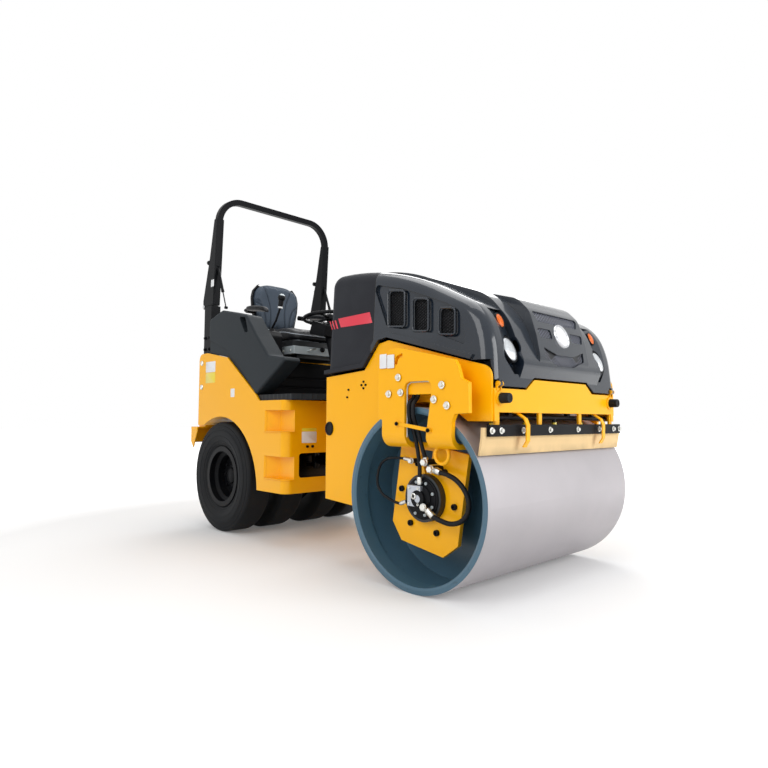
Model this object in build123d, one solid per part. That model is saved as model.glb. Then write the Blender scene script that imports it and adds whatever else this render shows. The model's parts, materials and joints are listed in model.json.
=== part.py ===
"""Compact combination roller: a smooth vibrating drum in front and four smooth tyres behind.

The frame is +X forward, +Y to the operator's left and +Z up, in millimetres. The origin lies on
the ground, midway between the front and the rear ends, on the centre plane. The front and rear
frames hinge about a vertical pin. A name ending in _x, _y or _z is a place along that axis, _r is
a radius, _t a plate thickness and _gap a clearance.
"""
import os
from math import cos, hypot, radians, sin, tan

from build123d import *

# ---------------------------------------------------------------- drum
drum_x = 1010.0               # drum axle, ahead of the origin
drum_width = 1350.0
drum_r = 450.0
drum_wall_t = 22.0
drum_rim_t = 34.0             # thicker ring at each end of the drum
drum_rim_depth = 90.0
drum_recess = 285.0           # from the end of the drum to its disc
drum_disc_t = 22.0
drum_boss_r = 150.0

# ---------------------------------------------------------------- tyres and rims
wheelbase = 2060.0
tyre_r = 405.0
tyre_section = 212.0          # width over the sidewalls
tyre_tread = 158.0            # flat running width
tyre_bead_r = 196.0
tyre_bead_width = 150.0
tyre_wall_t = 24.0
tyre_inner_y = 184.0          # centre plane of the inner tyre
tyre_pitch = 300.0            # from the inner to the outer tyre
rim_flange_r = 222.0
rim_t = 10.0
rim_well = 26.0               # depth of the drop centre
wheel_bore_r = 60.0
wheel_dish = 36.0             # from a rim's middle plane to its disc
wheel_hub_r = 85.0
shaft_gap = 0.3

# ---------------------------------------------------------------- frames
body_y = 600.0                # outer faces of the frames' side plates
frame_t = 12.0
steer_limit = 35.0            # degrees each way
pivot_x = -20.0               # articulation pin
pin_r = 35.0
rear_wall_x = -180.0          # front face of the rear frame
rear_corner_r = 60.0
rear_overhang = 330.0         # from the axle to the rear panel
rear_low_z = 784.0            # lower edge behind the wheels
rear_lip = 48.0               # side plates and rear panel above the deck
belly_z = 353.0
belly_back_x = -510.0
arch_ahead, arch_z, arch_r = 20.0, 330.0, 520.0    # arch's middle ahead of the axle
floor_z = 1000.0              # top of the foot floor
floor_t = 40.0
floor_plate_t = 8.0
floor_gap = 12.0              # from the floor's front edge to the hood at full steering lock
deck_z = 1292.0               # top of the deck that carries the chair
deck_front_x = -870.0
window_y = (-490.0, -80.0)
window_z = (452.0, 612.0)
window_corner_r = 22.0
front_wall_x = 240.0          # rear face of the front frame
front_low_z = 373.0
front_end_x = 1427.0
drum_room = 25.0              # from the drum to the edge of the arch over it
crossdeck_z = 955.0           # top of the plate under the engine

step_z = [(439.0, 590.0), (748.0, 893.0)]      # bottom and top of each foot step
step_back_x, step_turn_x = -427.0, -350.0      # its slanted back wall, outside and inside
step_depth = 72.0
step_t = 6.0
step_lip = 8.0                # tread's overhang past the body

# ---------------------------------------------------------------- bumper and tow eye
bumper_t = 8.0
bumper_reach = 115.0          # from the rear panel to the bumper's rear face
bumper_z = (655.0, 770.0)
tow_pin_in, tow_pin_r = 65.0, 15.0             # pin ahead of the bumper's rear face
tow_ear_y = 60.0

# ---------------------------------------------------------------- articulation and steering cylinder
yoke_z = (400.0, 690.0)
yoke_t = 40.0
yoke_r = 75.0
yoke_gap = 12.0
cyl_rear = (-460.0, -140.0)   # steering cylinder's pins in plan
cyl_front = (60.0, -170.0)
cyl_z = 545.0
cyl_pin_r = 15.0
cyl_eye_r = 30.0
cyl_eye_t = 50.0
cyl_r = 32.0
cyl_rod_r = 16.0
cyl_barrel = 350.0            # from the rear pin to the gland
cyl_hidden_rod = 185.0        # of the rod that stays inside the barrel
lug_t = 26.0
lug_gap = 0.5

# ---------------------------------------------------------------- drum's arms, motors and hoses
carrier_depth = 125.0         # from the end of the drum to the middle of the carrying plate
carrier_t = 25.0
carrier_lean = -9.0           # degrees that the carrier plate leans
arm_gap = 8.0                 # from the end of the drum to the arm beside it
arm_t = 25.0
arm_bend_r = 70.0
arm_flange_z = 700.0          # underside of the arm's inward flange
motor_hole_r = 118.0
motor_r = 106.0
motor_shaft_r = 60.0
motor_flange_r = 150.0
tie_ring_r, tie_bar_r = 42.0, 9.0
tie_ring_x, tie_ring_depth = 1170.0, 35.0      # depths are inwards from the end of the drum
motor_depth = 75.0            # to the motor's outer face
port_block_t = 40.0           # how far the port block stands out of the motor

# ---------------------------------------------------------------- front beam and what hangs on it
beam_x = 1434.0               # front face
beam_t = 12.0
beam_y = 588.0
beam_end_z, beam_low_z = 832.0, 873.0          # underside at the ends and between them
beam_top_z, beam_rise_z = 983.0, 1034.0        # top at the ends and in the middle
beam_rise_y = (256.0, 328.0)  # half widths of the raised middle, at its top and its foot
buffer_y, buffer_z, buffer_r, buffer_reach = 541.0, 938.0, 25.0, 48.0
mat_bar_x, mat_bar_t = 1448.0, 18.0
mat_bar_z = (764.0, 817.0)
mat_bar_y = 643.0
mat_y, mat_t = 671.0, 10.0
mat_low = (1404.0, 680.0)     # rear lower edge of the scraper mat
hook_y, hook_width, hook_t = 380.0, 30.0, 6.0
spray_x, spray_z, spray_r = 1388.0, 850.0, 12.0
spray_y = 575.0
nozzle_pitch, nozzle_r = 273.0, 10.0

# ---------------------------------------------------------------- hood
hood_t = 10.0
hood_wall_y = (612.0, 580.0)  # half widths over the side walls at the two heights below
hood_wall_z = (1100.0, 1700.0)
hood_shoulder_r = 66.0
hood_rib_y = 386.0            # half width of the raised middle
hood_snout_y = 245.0
hood_edge_gap = 12.0          # over the frame
hood_bead, hood_bead_t = 26.0, 10.0            # rolled lower edge: height and how far it stands out
hood_hinge_x, hood_hinge_z = 1440.0, 1003.0
hood_hinge_y, hood_pin_r = 556.0, 6.0
hood_low_z = 993.0
lamp_dish = 34.0              # depth of a lamp's dish beside the middle
lamp_dish_y = 500.0           # where its floor meets the hood's face
lamp_y, lamp_z, lamp_r = 424.0, 1184.0, 55.0
lamp_lean = 22.0              # degrees back from upright
indicator_y, indicator_z = 451.0, 1311.0
indicator_size = (56.0, 78.0)
intake_depth = 16.0
panel_t = 3.0                 # mesh panels behind the openings
badge_z, badge_r = 1273.0, 62.0

# ---------------------------------------------------------------- operator's place
seat_gap = 0.3                # between pieces that only rest on each other
run_gap = 6.0                 # least room round a moving piece
console_width = 130.0
console_back_x = -970.0       # rear end of the notch for it in the deck
console_edge_r = 16.0
console_band = 14.0           # depth of the recessed band over the frame's edge
seat_y = 235.0
seat_x = (-1180.0, -600.0)    # rear and front of the cushion
slide_z = (1321.0, 1380.0)    # height of the chair's slide
cushion_z = 1425.0
back_x = (-1290.0, -1180.0)
arm_rest_y = 300.0
steer_wheel_r, steer_wheel_x, steer_wheel_z = 190.0, -495.0, 1602.0
steer_wheel_bar_r = 14.0
steer_wheel_lean = 5.5        # degrees that the wheel leans back

# ---------------------------------------------------------------- roll bar's sizes
rops_y = 531.0                # middle of the roll bar's legs
rops_tube = 45.0
rops_lean = 3.3               # degrees forward
rops_foot_x = -1283.0         # leg's middle at its foot
rops_top_z = 2612.0
rops_bend_r = 190.0
rops_sleeve_rise = 14.5       # top of the sleeves above the start of the bend
rops_plate_t = 8.0
hinge_x, hinge_z = -1400.0, 1728.0
hinge_pin_r, hinge_eye_r = 10.0, 19.0

# ---------------------------------------------------------------- worked out from them
rear_x = drum_x - wheelbase
rear_end_x = rear_x - rear_overhang
arch_x = rear_x + arch_ahead
bumper_x = rear_end_x - bumper_reach
tow_pin_x = bumper_x + tow_pin_in
drum_half = drum_width / 2
carrier_y = drum_half - carrier_depth
motor_y = drum_half - motor_depth
tie_ring_y = tie_ring_depth - drum_half
rops_sleeve_z = rops_top_z - rops_tube / 2 - rops_bend_r + rops_sleeve_rise
drum_z = drum_r
tyre_z = tyre_r
disc_y = drum_half - drum_recess
arm_in_y = drum_half + arm_gap
arm_out_y = arm_in_y + arm_t
inner_y = body_y - frame_t    # inner faces of the side plates
half_eye = cyl_eye_t / 2


# ---------------------------------------------------------------- small helpers
def block(x0, x1, y0, y1, z0, z1):
    """Square block between three pairs of planes."""
    return Pos((x0 + x1) / 2, (y0 + y1) / 2, (z0 + z1) / 2) * Box(x1 - x0, y1 - y0, z1 - z0)


def outline(points, radius=0.0):
    """Closed face through 3-D points, with one corner radius or a list of them."""
    radii = radius if isinstance(radius, list) else [radius] * len(points)
    if any(radii):
        return make_face(FilletPolyline(*points, radius=radii, close=True))
    return make_face(Polyline(*points, close=True))


def side_face(points, y=0.0, radius=0.0):
    """Face in the side view at y, points being (x, z) or (x, z, corner radius)."""
    if len(points[0]) == 3:
        radius = [r for _, _, r in points]
    return outline([(p[0], y, p[1]) for p in points], radius)


def side_slab(points, y0, y1, radius=0.0):
    """Slab whose outline lies in the side view."""
    return extrude(side_face(points, y0, radius), y1 - y0, dir=(0, 1, 0))


def plan_slab(points, z0, z1, radius=0.0):
    """Slab whose outline lies in plan, points being (x, y)."""
    return extrude(outline([(x, y, z0) for x, y in points], radius), z1 - z0, dir=(0, 0, 1))


def front_slab(points, x0, x1, radius=0.0):
    """Slab whose outline lies in the front view, points being (y, z)."""
    return extrude(outline([(x0, y, z) for y, z in points], radius), x1 - x0, dir=(1, 0, 0))


def bar(start, end, r, r_end=None):
    """Round bar, or a cone when r_end is given, between two points."""
    a, b = Vector(*start), Vector(*end)
    plane = Plane(origin=a, z_dir=b - a)
    low = (Align.CENTER, Align.CENTER, Align.MIN)
    if r_end is None:
        return plane * Cylinder(r, (b - a).length, align=low)
    return plane * Cone(r, r_end, (b - a).length, align=low)


def y_bar(x, z, y0, y1, r):
    """Round bar along Y."""
    return bar((x, y0, z), (x, y1, z), r)


def y_ring(x, z, y0, y1, r_out, r_in):
    """Ring about a line along Y."""
    return y_bar(x, z, y0, y1, r_out) - y_bar(x, z, y0 - 1, y1 + 1, r_in)


def y_turned(x, z, profile):
    """Solid of revolution about a line along Y, its profile points being (y, radius)."""
    face = outline([(x + r, y, z) for y, r in profile])
    return revolve(face, Axis((x, 0, z), (0, 1, 0)), 360)


def other_side(piece):
    """The same piece mirrored to the other side of the machine."""
    return mirror(piece, about=Plane.XZ)


def pair(piece):
    """A right-hand piece and its mirror image, as one list of solids."""
    return [piece, other_side(piece)]


def on_side(side, piece):
    """A right-hand piece, or its mirror image when side is 1."""
    return piece if side < 0 else other_side(piece)


def hose(points, r):
    """Tube of radius r through the points, its bends as wide as the runs beside them allow."""
    places = [Vector(*p) for p in points]
    runs = [b - a for a, b in zip(places, places[1:])]
    bends = []
    for first, second in zip(runs, runs[1:]):
        half_turn = tan(radians(first.get_angle(second)) / 2)
        bends.append(0.45 * min(first.length, second.length) / half_turn)
    path = FilletPolyline(*places, radius=bends)
    return sweep(Plane(origin=path @ 0, z_dir=path % 0) * Circle(r), path)


# ---------------------------------------------------------------- rolling pieces
def drum():
    """Shell, end rings, two discs and the boss that takes each motor's shaft."""
    inner = drum_r - drum_wall_t
    rim_in = drum_r - drum_rim_t
    bore = motor_shaft_r + shaft_gap
    half = [
        (drum_half, drum_r), (drum_half, rim_in + 12), (drum_half - 6, rim_in),
        (drum_half - drum_rim_depth, rim_in), (drum_half - drum_rim_depth - 12, inner),
        (disc_y, inner), (disc_y, drum_boss_r), (disc_y + 30, drum_boss_r - 20),
        (disc_y + 30, bore), (disc_y - drum_disc_t, bore), (disc_y - drum_disc_t, inner),
        (0, inner), (0, drum_r),
    ]
    right = y_turned(drum_x, drum_z, [(-y, r) for y, r in half])
    return right + y_turned(drum_x, drum_z, half)


def tyre(y):
    """Smooth compactor tyre: flat tread, round shoulders, bulging sidewalls and upright beads."""
    bead = tyre_bead_width / 2
    bulge = tyre_section / 2
    tread = tyre_tread / 2
    bead_top = rim_flange_r + 4
    mid_r = (tyre_r + bead_top) / 2
    wall = tyre_wall_t
    shoulder = (tread + 14, tyre_r - 22)
    lines = [
        Edge.make_line((bead, tyre_bead_r), (bead, bead_top)),
        Edge.make_three_point_arc((bead, bead_top), (bulge, mid_r), shoulder),
        Edge.make_three_point_arc(shoulder, (tread + 8, tyre_r - 7), (tread - 6, tyre_r)),
        Edge.make_line((tread - 6, tyre_r), (0, tyre_r)),
        Edge.make_line((0, tyre_r), (0, tyre_r - wall)),
        Edge.make_three_point_arc((0, tyre_r - wall), (bulge - wall - 6, mid_r + 10),
                                  (bead - wall, tyre_bead_r)),
        Edge.make_line((bead - wall, tyre_bead_r), (bead, tyre_bead_r)),
    ]
    face = Plane(origin=(rear_x, y, tyre_z), x_dir=(0, 1, 0), z_dir=(-1, 0, 0)) * make_face(lines)
    half = revolve(face, Axis((rear_x, 0, tyre_z), (0, 1, 0)), 360)
    return half + mirror(half, about=Plane((rear_x, y, tyre_z), z_dir=(0, 1, 0)))


def wheel_rim(y, dish):
    """Drop-centre rim with its flanges, and a disc set off by dish from the middle plane."""
    bead = tyre_bead_width / 2
    seat_r = tyre_bead_r - seat_gap
    well_r = seat_r - rim_well
    ring = y_turned(rear_x, tyre_z, [
        (y - bead - rim_t, rim_flange_r), (y - bead - seat_gap, rim_flange_r),
        (y - bead - seat_gap, seat_r), (y - bead + 30, seat_r), (y - bead + 45, well_r),
        (y + bead - 45, well_r), (y + bead - 30, seat_r), (y + bead + seat_gap, seat_r),
        (y + bead + seat_gap, rim_flange_r), (y + bead + rim_t, rim_flange_r),
        (y + bead + rim_t, seat_r - rim_t), (y + bead - 34, seat_r - rim_t),
        (y + bead - 50, well_r - rim_t), (y - bead + 50, well_r - rim_t),
        (y - bead + 34, seat_r - rim_t), (y - bead - rim_t, seat_r - rim_t),
    ])
    way = 1 if dish > 0 else -1
    shallow, deep = dish - way * 8, dish + way * 8
    slope = (rim_well - 0.0) / 16
    edge_r = [seat_r - rim_t - slope * (bead - 34 - abs(d)) + 2.5 for d in (shallow, deep)]
    disc = y_turned(rear_x, tyre_z, [(y + shallow, edge_r[0]), (y + deep, edge_r[1]),
                                     (y + deep, wheel_bore_r), (y + shallow, wheel_bore_r)])
    return ring + disc


def wheel_set(side):
    """Two tyres and the pair of rims with the hub tube that joins them, on one side."""
    near_y, far_y = side * tyre_inner_y, side * (tyre_inner_y + tyre_pitch)
    discs = sorted([near_y + side * wheel_dish, far_y - side * wheel_dish])
    hub = y_ring(rear_x, tyre_z, discs[0] - 20, discs[1] + 20, wheel_hub_r, wheel_bore_r)
    rims = wheel_rim(near_y, side * wheel_dish) + wheel_rim(far_y, -side * wheel_dish) + hub
    return [tyre(near_y), tyre(far_y)], rims


# ---------------------------------------------------------------- rear frame
side_points = [  # (x, z, corner radius) round a rear side plate, before its wheel arch is cut
    (rear_end_x, rear_low_z, 0), (rear_end_x, deck_z + rear_lip, 50), (-1251, deck_z + 50, 0),
    (-944, 1287, 0), (-546, floor_z + 5, 0), (-500, floor_z - floor_t, 0),
    (rear_wall_x - rear_corner_r, floor_z - floor_t, 0),
    (rear_wall_x - rear_corner_r, belly_z, 0), (belly_back_x, belly_z, 0),
    (arch_x, arch_z + 100, 0), (arch_x - 250, rear_low_z, 0),
]


def wheel_arch(gap):
    """Round space over the wheels, gap wider than the arch itself."""
    return y_bar(arch_x, arch_z, -700, 700, arch_r + gap)


def front_plan(gap, z0, z1):
    """Rear frame's front end in plan, drawn in by gap at its front and sides."""
    side, front, corner = body_y - gap, rear_wall_x - gap, rear_corner_r - 2 - gap
    points = [(rear_end_x, -side), (front, -side), (front, side), (rear_end_x, side)]
    return plan_slab(points, z0, z1, [0, corner, corner, 0])


def step_void(grow, z0, z1):
    """Wedge that a foot step takes out of the right front corner."""
    back, turn, deep = step_back_x - grow, step_turn_x - grow, -body_y + step_depth + grow
    return plan_slab([(back, -body_y - 1), (turn, deep), (rear_wall_x + 1, deep),
                      (rear_wall_x + 1, -body_y - 1)], z0, z1)


def rear_sides():
    """Two side plates, each with its wheel arch and its foot steps' mouths."""
    plate = side_slab(side_points, -body_y, -body_y + frame_t) - wheel_arch(0)
    for z0, z1 in step_z:
        plate -= step_void(0, z0, z1)
    return pair(plate)


def rear_front_wall():
    """Folded front wall with the steps' mouths and two windows."""
    high = floor_z - floor_t
    sheet = front_plan(0, belly_z, high) - front_plan(frame_t, belly_z - 1, high + 1)
    side_x = rear_wall_x - rear_corner_r + seat_gap
    sheet &= block(side_x, 0, -body_y - 1, body_y + 1, belly_z, high)
    for z0, z1 in step_z:
        void = step_void(0, z0, z1)
        sheet = sheet - void - other_side(void)
    window = side_window()
    return sheet - window - other_side(window)


def side_window():
    """Hole in the front wall that the steering cylinder and the hoses pass through."""
    (y0, y1), (z0, z1) = window_y, window_z
    return front_slab([(y0, z0), (y1, z0), (y1, z1), (y0, z1)], rear_wall_x - 20,
                      rear_wall_x + 10, window_corner_r)


def step_boxes():
    """Closed boxes behind the foot steps, each with a tread that stands out of the body."""
    inside = front_plan(frame_t + seat_gap, 0, floor_z)
    rim = front_plan(-step_lip, 0, floor_z)
    boxes = []
    for z0, z1 in step_z:
        liner = step_void(step_t, z0 - step_t, z1 + step_t) & inside
        liner -= step_void(0, z0 + step_t, z1)
        edge = step_back_x + step_lip + 1
        tread = plan_slab([(edge, -body_y - step_lip), (edge, -body_y), (step_turn_x + 1,
                           -body_y + step_depth), (0, -body_y + step_depth),
                           (0, -body_y - step_lip)], z0 + seat_gap, z0 + step_t)
        boxes += pair(liner + (tread & rim))
    return boxes


def body_form(inset):
    """Space inside the rear frame's side plates, drawn in by inset, over the wheel arch."""
    points = [
        (rear_end_x + inset, rear_low_z + inset), (rear_end_x + inset, deck_z - inset),
        (deck_front_x - inset, deck_z - inset), (deck_front_x - inset, floor_z - floor_t - inset),
        (0, floor_z - floor_t - inset), (0, belly_z + inset), (belly_back_x, belly_z + inset),
        (arch_x, arch_z + 100), (arch_x - 250, rear_low_z + inset),
    ]
    return side_slab(points, -body_y, body_y) - wheel_arch(inset)


def rear_frame():
    """Sheet round the body between its side plates, with the steering cylinder's bracket."""
    fit = frame_t + seat_gap
    sheet = (body_form(0) - body_form(frame_t)) & front_plan(fit, 0, 2000)
    notch_y = -body_y + console_width + run_gap
    notch = block(console_back_x, deck_front_x + 1, -body_y, notch_y, floor_z - floor_t, deck_z + 1)
    lining = block(console_back_x - step_t, deck_front_x, -body_y + fit, notch_y + step_t,
                   floor_z - floor_t - frame_t, deck_z) - notch
    sheet = sheet - notch - other_side(notch) + lining + other_side(lining)
    side = rops_y - 46
    sheet += block(rear_end_x, rear_end_x + frame_t, -side, side, deck_z - 1, deck_z + rear_lip - 6)
    x, y = cyl_rear
    bracket = block(x - 180, x - 60, y - 80, y + 80, cyl_z - 90, cyl_z + 90)
    bracket += clevis(cyl_rear, [(x - 95, y - 60), (x - 95, y + 60)])
    return sheet + (bracket - wheel_arch(0))


def clevis(pin, root):
    """Two lugs about a steering pin, from the two root points, with the pin's heads outside."""
    x, y = pin
    eye, parts = cyl_eye_r - 2, []
    (x0, low_y), (x1, high_y) = root
    for side in (-1, 1):
        near = cyl_z + side * (half_eye + lug_gap)
        far = near + side * lug_t
        z0, z1 = min(near, far), max(near, far)
        lug = plan_slab([(x0, low_y), (x, y - eye), (x, y + eye), (x1, high_y)], z0, z1)
        lug += bar((x, y, z0), (x, y, z1), eye)
        parts.append(lug + bar((x, y, far), (x, y, far + side * 10), cyl_pin_r + 4))
    return parts[0] + parts[1]


def rear_axle():
    """Hanger between the two inner tyres with a flanged motor and hub shaft to each side."""
    leg = side_slab([(rear_x - 150, arch_z + arch_r), (rear_x - 90, tyre_z - 110),
                     (rear_x + 90, tyre_z - 110), (rear_x + 150, arch_z + arch_r)], -45, 45)
    leg &= y_bar(arch_x, arch_z, -60, 60, arch_r - seat_gap)
    motor = y_bar(rear_x, tyre_z, -62, 62, 100)
    reach = tyre_inner_y + tyre_pitch - wheel_dish + 34
    return leg + motor + y_bar(rear_x, tyre_z, -reach, reach, wheel_bore_r - shaft_gap)


def rear_bumper():
    """Folded bumper under the rear edge, its two hangers and the tow ears with a pin bore."""
    low, high = bumper_z
    inside, lid = bumper_x + bumper_t, high - bumper_t
    fold = side_slab([(bumper_x, high), (bumper_x + 105, high), (bumper_x + 100, 735),
                      (bumper_x + 65, 665), (bumper_x + 40, 607), (bumper_x, low)],
                     -body_y, body_y)
    fold -= side_slab([(inside, lid), (bumper_x + 195, lid), (bumper_x + 195, 560),
                       (inside, 560)], -body_y + bumper_t, body_y - bumper_t)
    hanger = block(bumper_x + 55, bumper_x + 155, -560, -440, high, rear_low_z - seat_gap)
    ear_x = bumper_x + 95
    ears = block(inside, ear_x, -tow_ear_y, tow_ear_y, 690, 710)
    ears += block(inside, ear_x, -tow_ear_y, tow_ear_y, 742, lid)
    bore = bar((tow_pin_x, 0, 600), (tow_pin_x, 0, 800), tow_pin_r)
    return fold + hanger + other_side(hanger) + ears - bore


# ---------------------------------------------------------------- operator's place
def floor_plan(inset):
    """Foot floor in plan: its front edge clears the hood's rear at full steering lock."""
    reach = front_wall_x - pivot_x - floor_gap - inset
    lock = radians(steer_limit)
    edge_y = body_y - frame_t - seat_gap - inset
    edge_x = (reach - edge_y * sin(lock)) / cos(lock)
    tangent = (reach * cos(lock), reach * sin(lock))
    back = deck_front_x + seat_gap + inset - pivot_x
    lines = [
        Edge.make_line((back, -edge_y), (edge_x, -edge_y)),
        Edge.make_line((edge_x, -edge_y), (tangent[0], -tangent[1])),
        Edge.make_three_point_arc((tangent[0], -tangent[1]), (reach, 0), tangent),
        Edge.make_line(tangent, (edge_x, edge_y)),
        Edge.make_line((edge_x, edge_y), (back, edge_y)),
        Edge.make_line((back, edge_y), (back, -edge_y)),
    ]
    return make_face(lines)


def platform_floor():
    """Folded foot floor: a top plate with its edges turned down."""
    place = Pos(pivot_x, 0, floor_z - floor_t + seat_gap)
    tray = place * extrude(floor_plan(0), floor_t - seat_gap)
    return tray - place * extrude(floor_plan(floor_plate_t), floor_t - floor_plate_t)


console_points = [  # (x, z, corner radius) round the moulded console beside the chair
    (-1235, 1340.5, 0), (-1235, 1602, 30), (-1040, 1654, 60), (-690, 1576, 80),
    (-566, 1435, 60), (-402, 1266, 60), (-222, 1241, 20), (-205, 1215, 10), (-544, 1005, 0),
    (-944, 1288, 0),
]
band_points = [  # (x, z) round the recessed band on its outer face
    (-1300, 1330), (-1300, 1470), (-1229, 1446), (-954, 1349), (-790, 1232), (-546, 1012),
    (-500, 940), (-944, 1270),
]


def console(side):
    """Moulded console over one rear corner, with a grab hole and a recessed lower band."""
    inner = -body_y + console_width
    slab = side_slab(console_points, -body_y, inner)
    rim = [e for e in slab.edges() if abs(e.center().Y + body_y) < 1 and e.center().Z > 1200
           and -1200 < e.center().X < -230]
    slab = fillet(rim, console_edge_r)
    slab -= side_slab([(-788, 1575), (-703, 1449), (-660, 1449), (-700, 1560)],
                      -body_y - 1, inner + 1, 12)
    slab -= side_slab(band_points, -body_y - 1, -body_y + console_band)
    return on_side(side, slab)


def chair_slide():
    """Bright slide under the chair with its latch lever."""
    x1 = seat_x[1]
    side = seat_y + 10
    slide = block(seat_x[0] + 50, x1, -side, side, slide_z[0], slide_z[1])
    slide = fillet(slide.edges().filter_by(Axis.Z), 6)
    slide -= block(seat_x[0] + 40, x1 - 14, -side + 14, side - 14, slide_z[0] + 8, slide_z[1] + 1)
    return slide + bar((x1 - 5, -120, 1350), (x1 + 26, -120, 1350), 6)


def chair_base():
    """Box under the chair's slide and the pan under its cushion."""
    deck, low, high = deck_z + seat_gap, slide_z[0] - seat_gap, slide_z[1] + seat_gap
    foot = block(seat_x[0] + 60, seat_x[1] - 30, -200, 200, deck, low)
    pan = block(seat_x[0] + 30, seat_x[1] - 30, -seat_y, seat_y, high, cushion_z)
    return [foot, pan]


def chair_cushion():
    """Cushion whose top rises towards its rear."""
    x0, x1 = seat_x
    low = cushion_z + seat_gap
    plan = plan_slab([(x0, -seat_y), (x1, -seat_y), (x1, seat_y), (x0, seat_y)], low, 1560,
                     [40, 70, 70, 40])
    return plan & side_slab([(x0, low, 0), (x1, low, 0), (x1, 1496, 24), (-830, 1548, 200),
                             (x0, 1555, 0)], -seat_y, seat_y)


def chair_back():
    """Backrest and the stem that joins it to the cushion."""
    rear, front = back_x
    pad = front_slab([(-200, 1560), (-236, 1840), (-150, 1979), (150, 1979), (236, 1840),
                      (200, 1560)], rear, front, [40, 70, 110, 110, 70, 40])
    stem = block(rear + 30, rear + 75, -60, 60, 1440, 1580)
    return pad + stem + block(rear + 30, seat_x[0] - seat_gap, -60, 60, 1440, 1480)


def chair_arms():
    """Two armrests that slope down forwards, each on a stay beside the backrest."""
    rear, front = back_x
    pad = side_slab([(-1180, 1700, 12), (-1180, 1752, 16), (-900, 1700, 24), (-868, 1670, 14),
                     (-890, 1648, 14)], -arm_rest_y - 30, -arm_rest_y + 30)
    stay = block(rear + 40, rear + 90, -arm_rest_y - 20, -223.5, 1695, 1740)
    stay += block(rear + 85, front + 10, -arm_rest_y - 20, -arm_rest_y + 20, 1704, 1740)
    return pair(pad + stay)


def control_console():
    """Box of switches beside the operator, with the boot of the travel lever."""
    foot = deck_z + seat_gap
    box = side_slab([(-1000, foot, 0), (-690, foot, 0), (-690, 1445, 30), (-725, 1490, 25),
                     (-1000, 1490, 0)], -400, -290)
    return box + bar((-765, -335, 1489), (-762, -334, 1515), 28, 14)


def travel_lever():
    """Leaning rod with a grip and a knob."""
    foot, bend, grip = (-762, -334, 1515.3), (-723, -326, 1570), (-682, -318, 1662)
    rod = bar(foot, bend, 8) - block(-900, -600, -450, -200, 1400, foot[2])
    rod += Pos(*bend) * Sphere(8) + bar(bend, grip, 8)
    return rod + bar(grip, (-673, -316, 1720), 17, 20) + Pos(-670, -315, 1736) * Sphere(28)


gauge_points = [(-600, 1480), (-420, 1440), (-400, 1530), (-560, 1575)]


def steering_column():
    """Post that rises from the foot floor and leans back, with the gauge head on top."""
    foot = Vector(-300, 0, floor_z)
    head = Vector(-480, 0, 1490)
    way = (head - foot).normalized()
    post = bar(foot - way * 60, head, 60, 46) + bar(foot - way * 30, foot + way * 40, 80, 62)
    post += side_slab(gauge_points, -110, 110, 14)
    return post - block(-600, 400, -200, 200, floor_z - 200, floor_z + seat_gap)


def steering_wheel():
    """Rim, three spokes and a hub over the gauge head."""
    ring = Torus(steer_wheel_r, steer_wheel_bar_r) + Cylinder(38, 30)
    ring += Pos(0, 0, -40) * Cylinder(20, 60)
    for turn in (0, 120, 240):
        ring += Rot(0, 0, 180 + turn) * (Pos(steer_wheel_r / 2, 0, 0) * Box(steer_wheel_r, 22, 10))
    placed = Pos(steer_wheel_x, 0, steer_wheel_z) * Rot(0, -steer_wheel_lean, 0) * ring
    (x0, z0), _, (x1, z1), (x2, z2) = gauge_points
    under = side_slab([(x0 - 40, 1400), (x1 + 40, 1400), (x1 + 40, z1 - 11), (x1, z1 + seat_gap),
                       (x2, z2 + seat_gap), (x0 - 40, z0)], -90, 90)
    return placed - under


# ---------------------------------------------------------------- roll bar
def leg_x(z, offset=0.0):
    """Place along X of a leg's middle at height z, or of a line offset from it."""
    return rops_foot_x + (z - hinge_z) * sin(radians(rops_lean)) + offset


def rops_posts():
    """Fixed lower channels on the rear corners with a stub of tube and the hinge eyes."""
    foot, top = deck_z + seat_gap, hinge_z - 3
    rear, front, half = -1374, -1262, rops_tube / 2
    cheek = half + rops_plate_t + 8
    post = block(rear, rear + 12, -rops_y - cheek, -rops_y + cheek, foot, top)
    post += block(rear, front, -rops_y - cheek, -rops_y - cheek + rops_plate_t, foot, top)
    post += block(rear, front, -rops_y + cheek - rops_plate_t, -rops_y + cheek, foot, top)
    post += block(front - rops_tube, front, -rops_y - cheek, -rops_y + cheek, foot, top)
    eye = block(hinge_x, rear + 1, -rops_y - 14, -rops_y + 14, hinge_z - hinge_eye_r, top)
    eye += y_bar(hinge_x, hinge_z, -rops_y - 14, -rops_y + 14, hinge_eye_r)
    return pair(post + (eye - y_bar(hinge_x, hinge_z, -600, -450, hinge_pin_r)))


sleeve_points = [(-1417, 1780), (-1369, 1954), (-1322, 2125), (-1262, rops_sleeve_z)]


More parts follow.
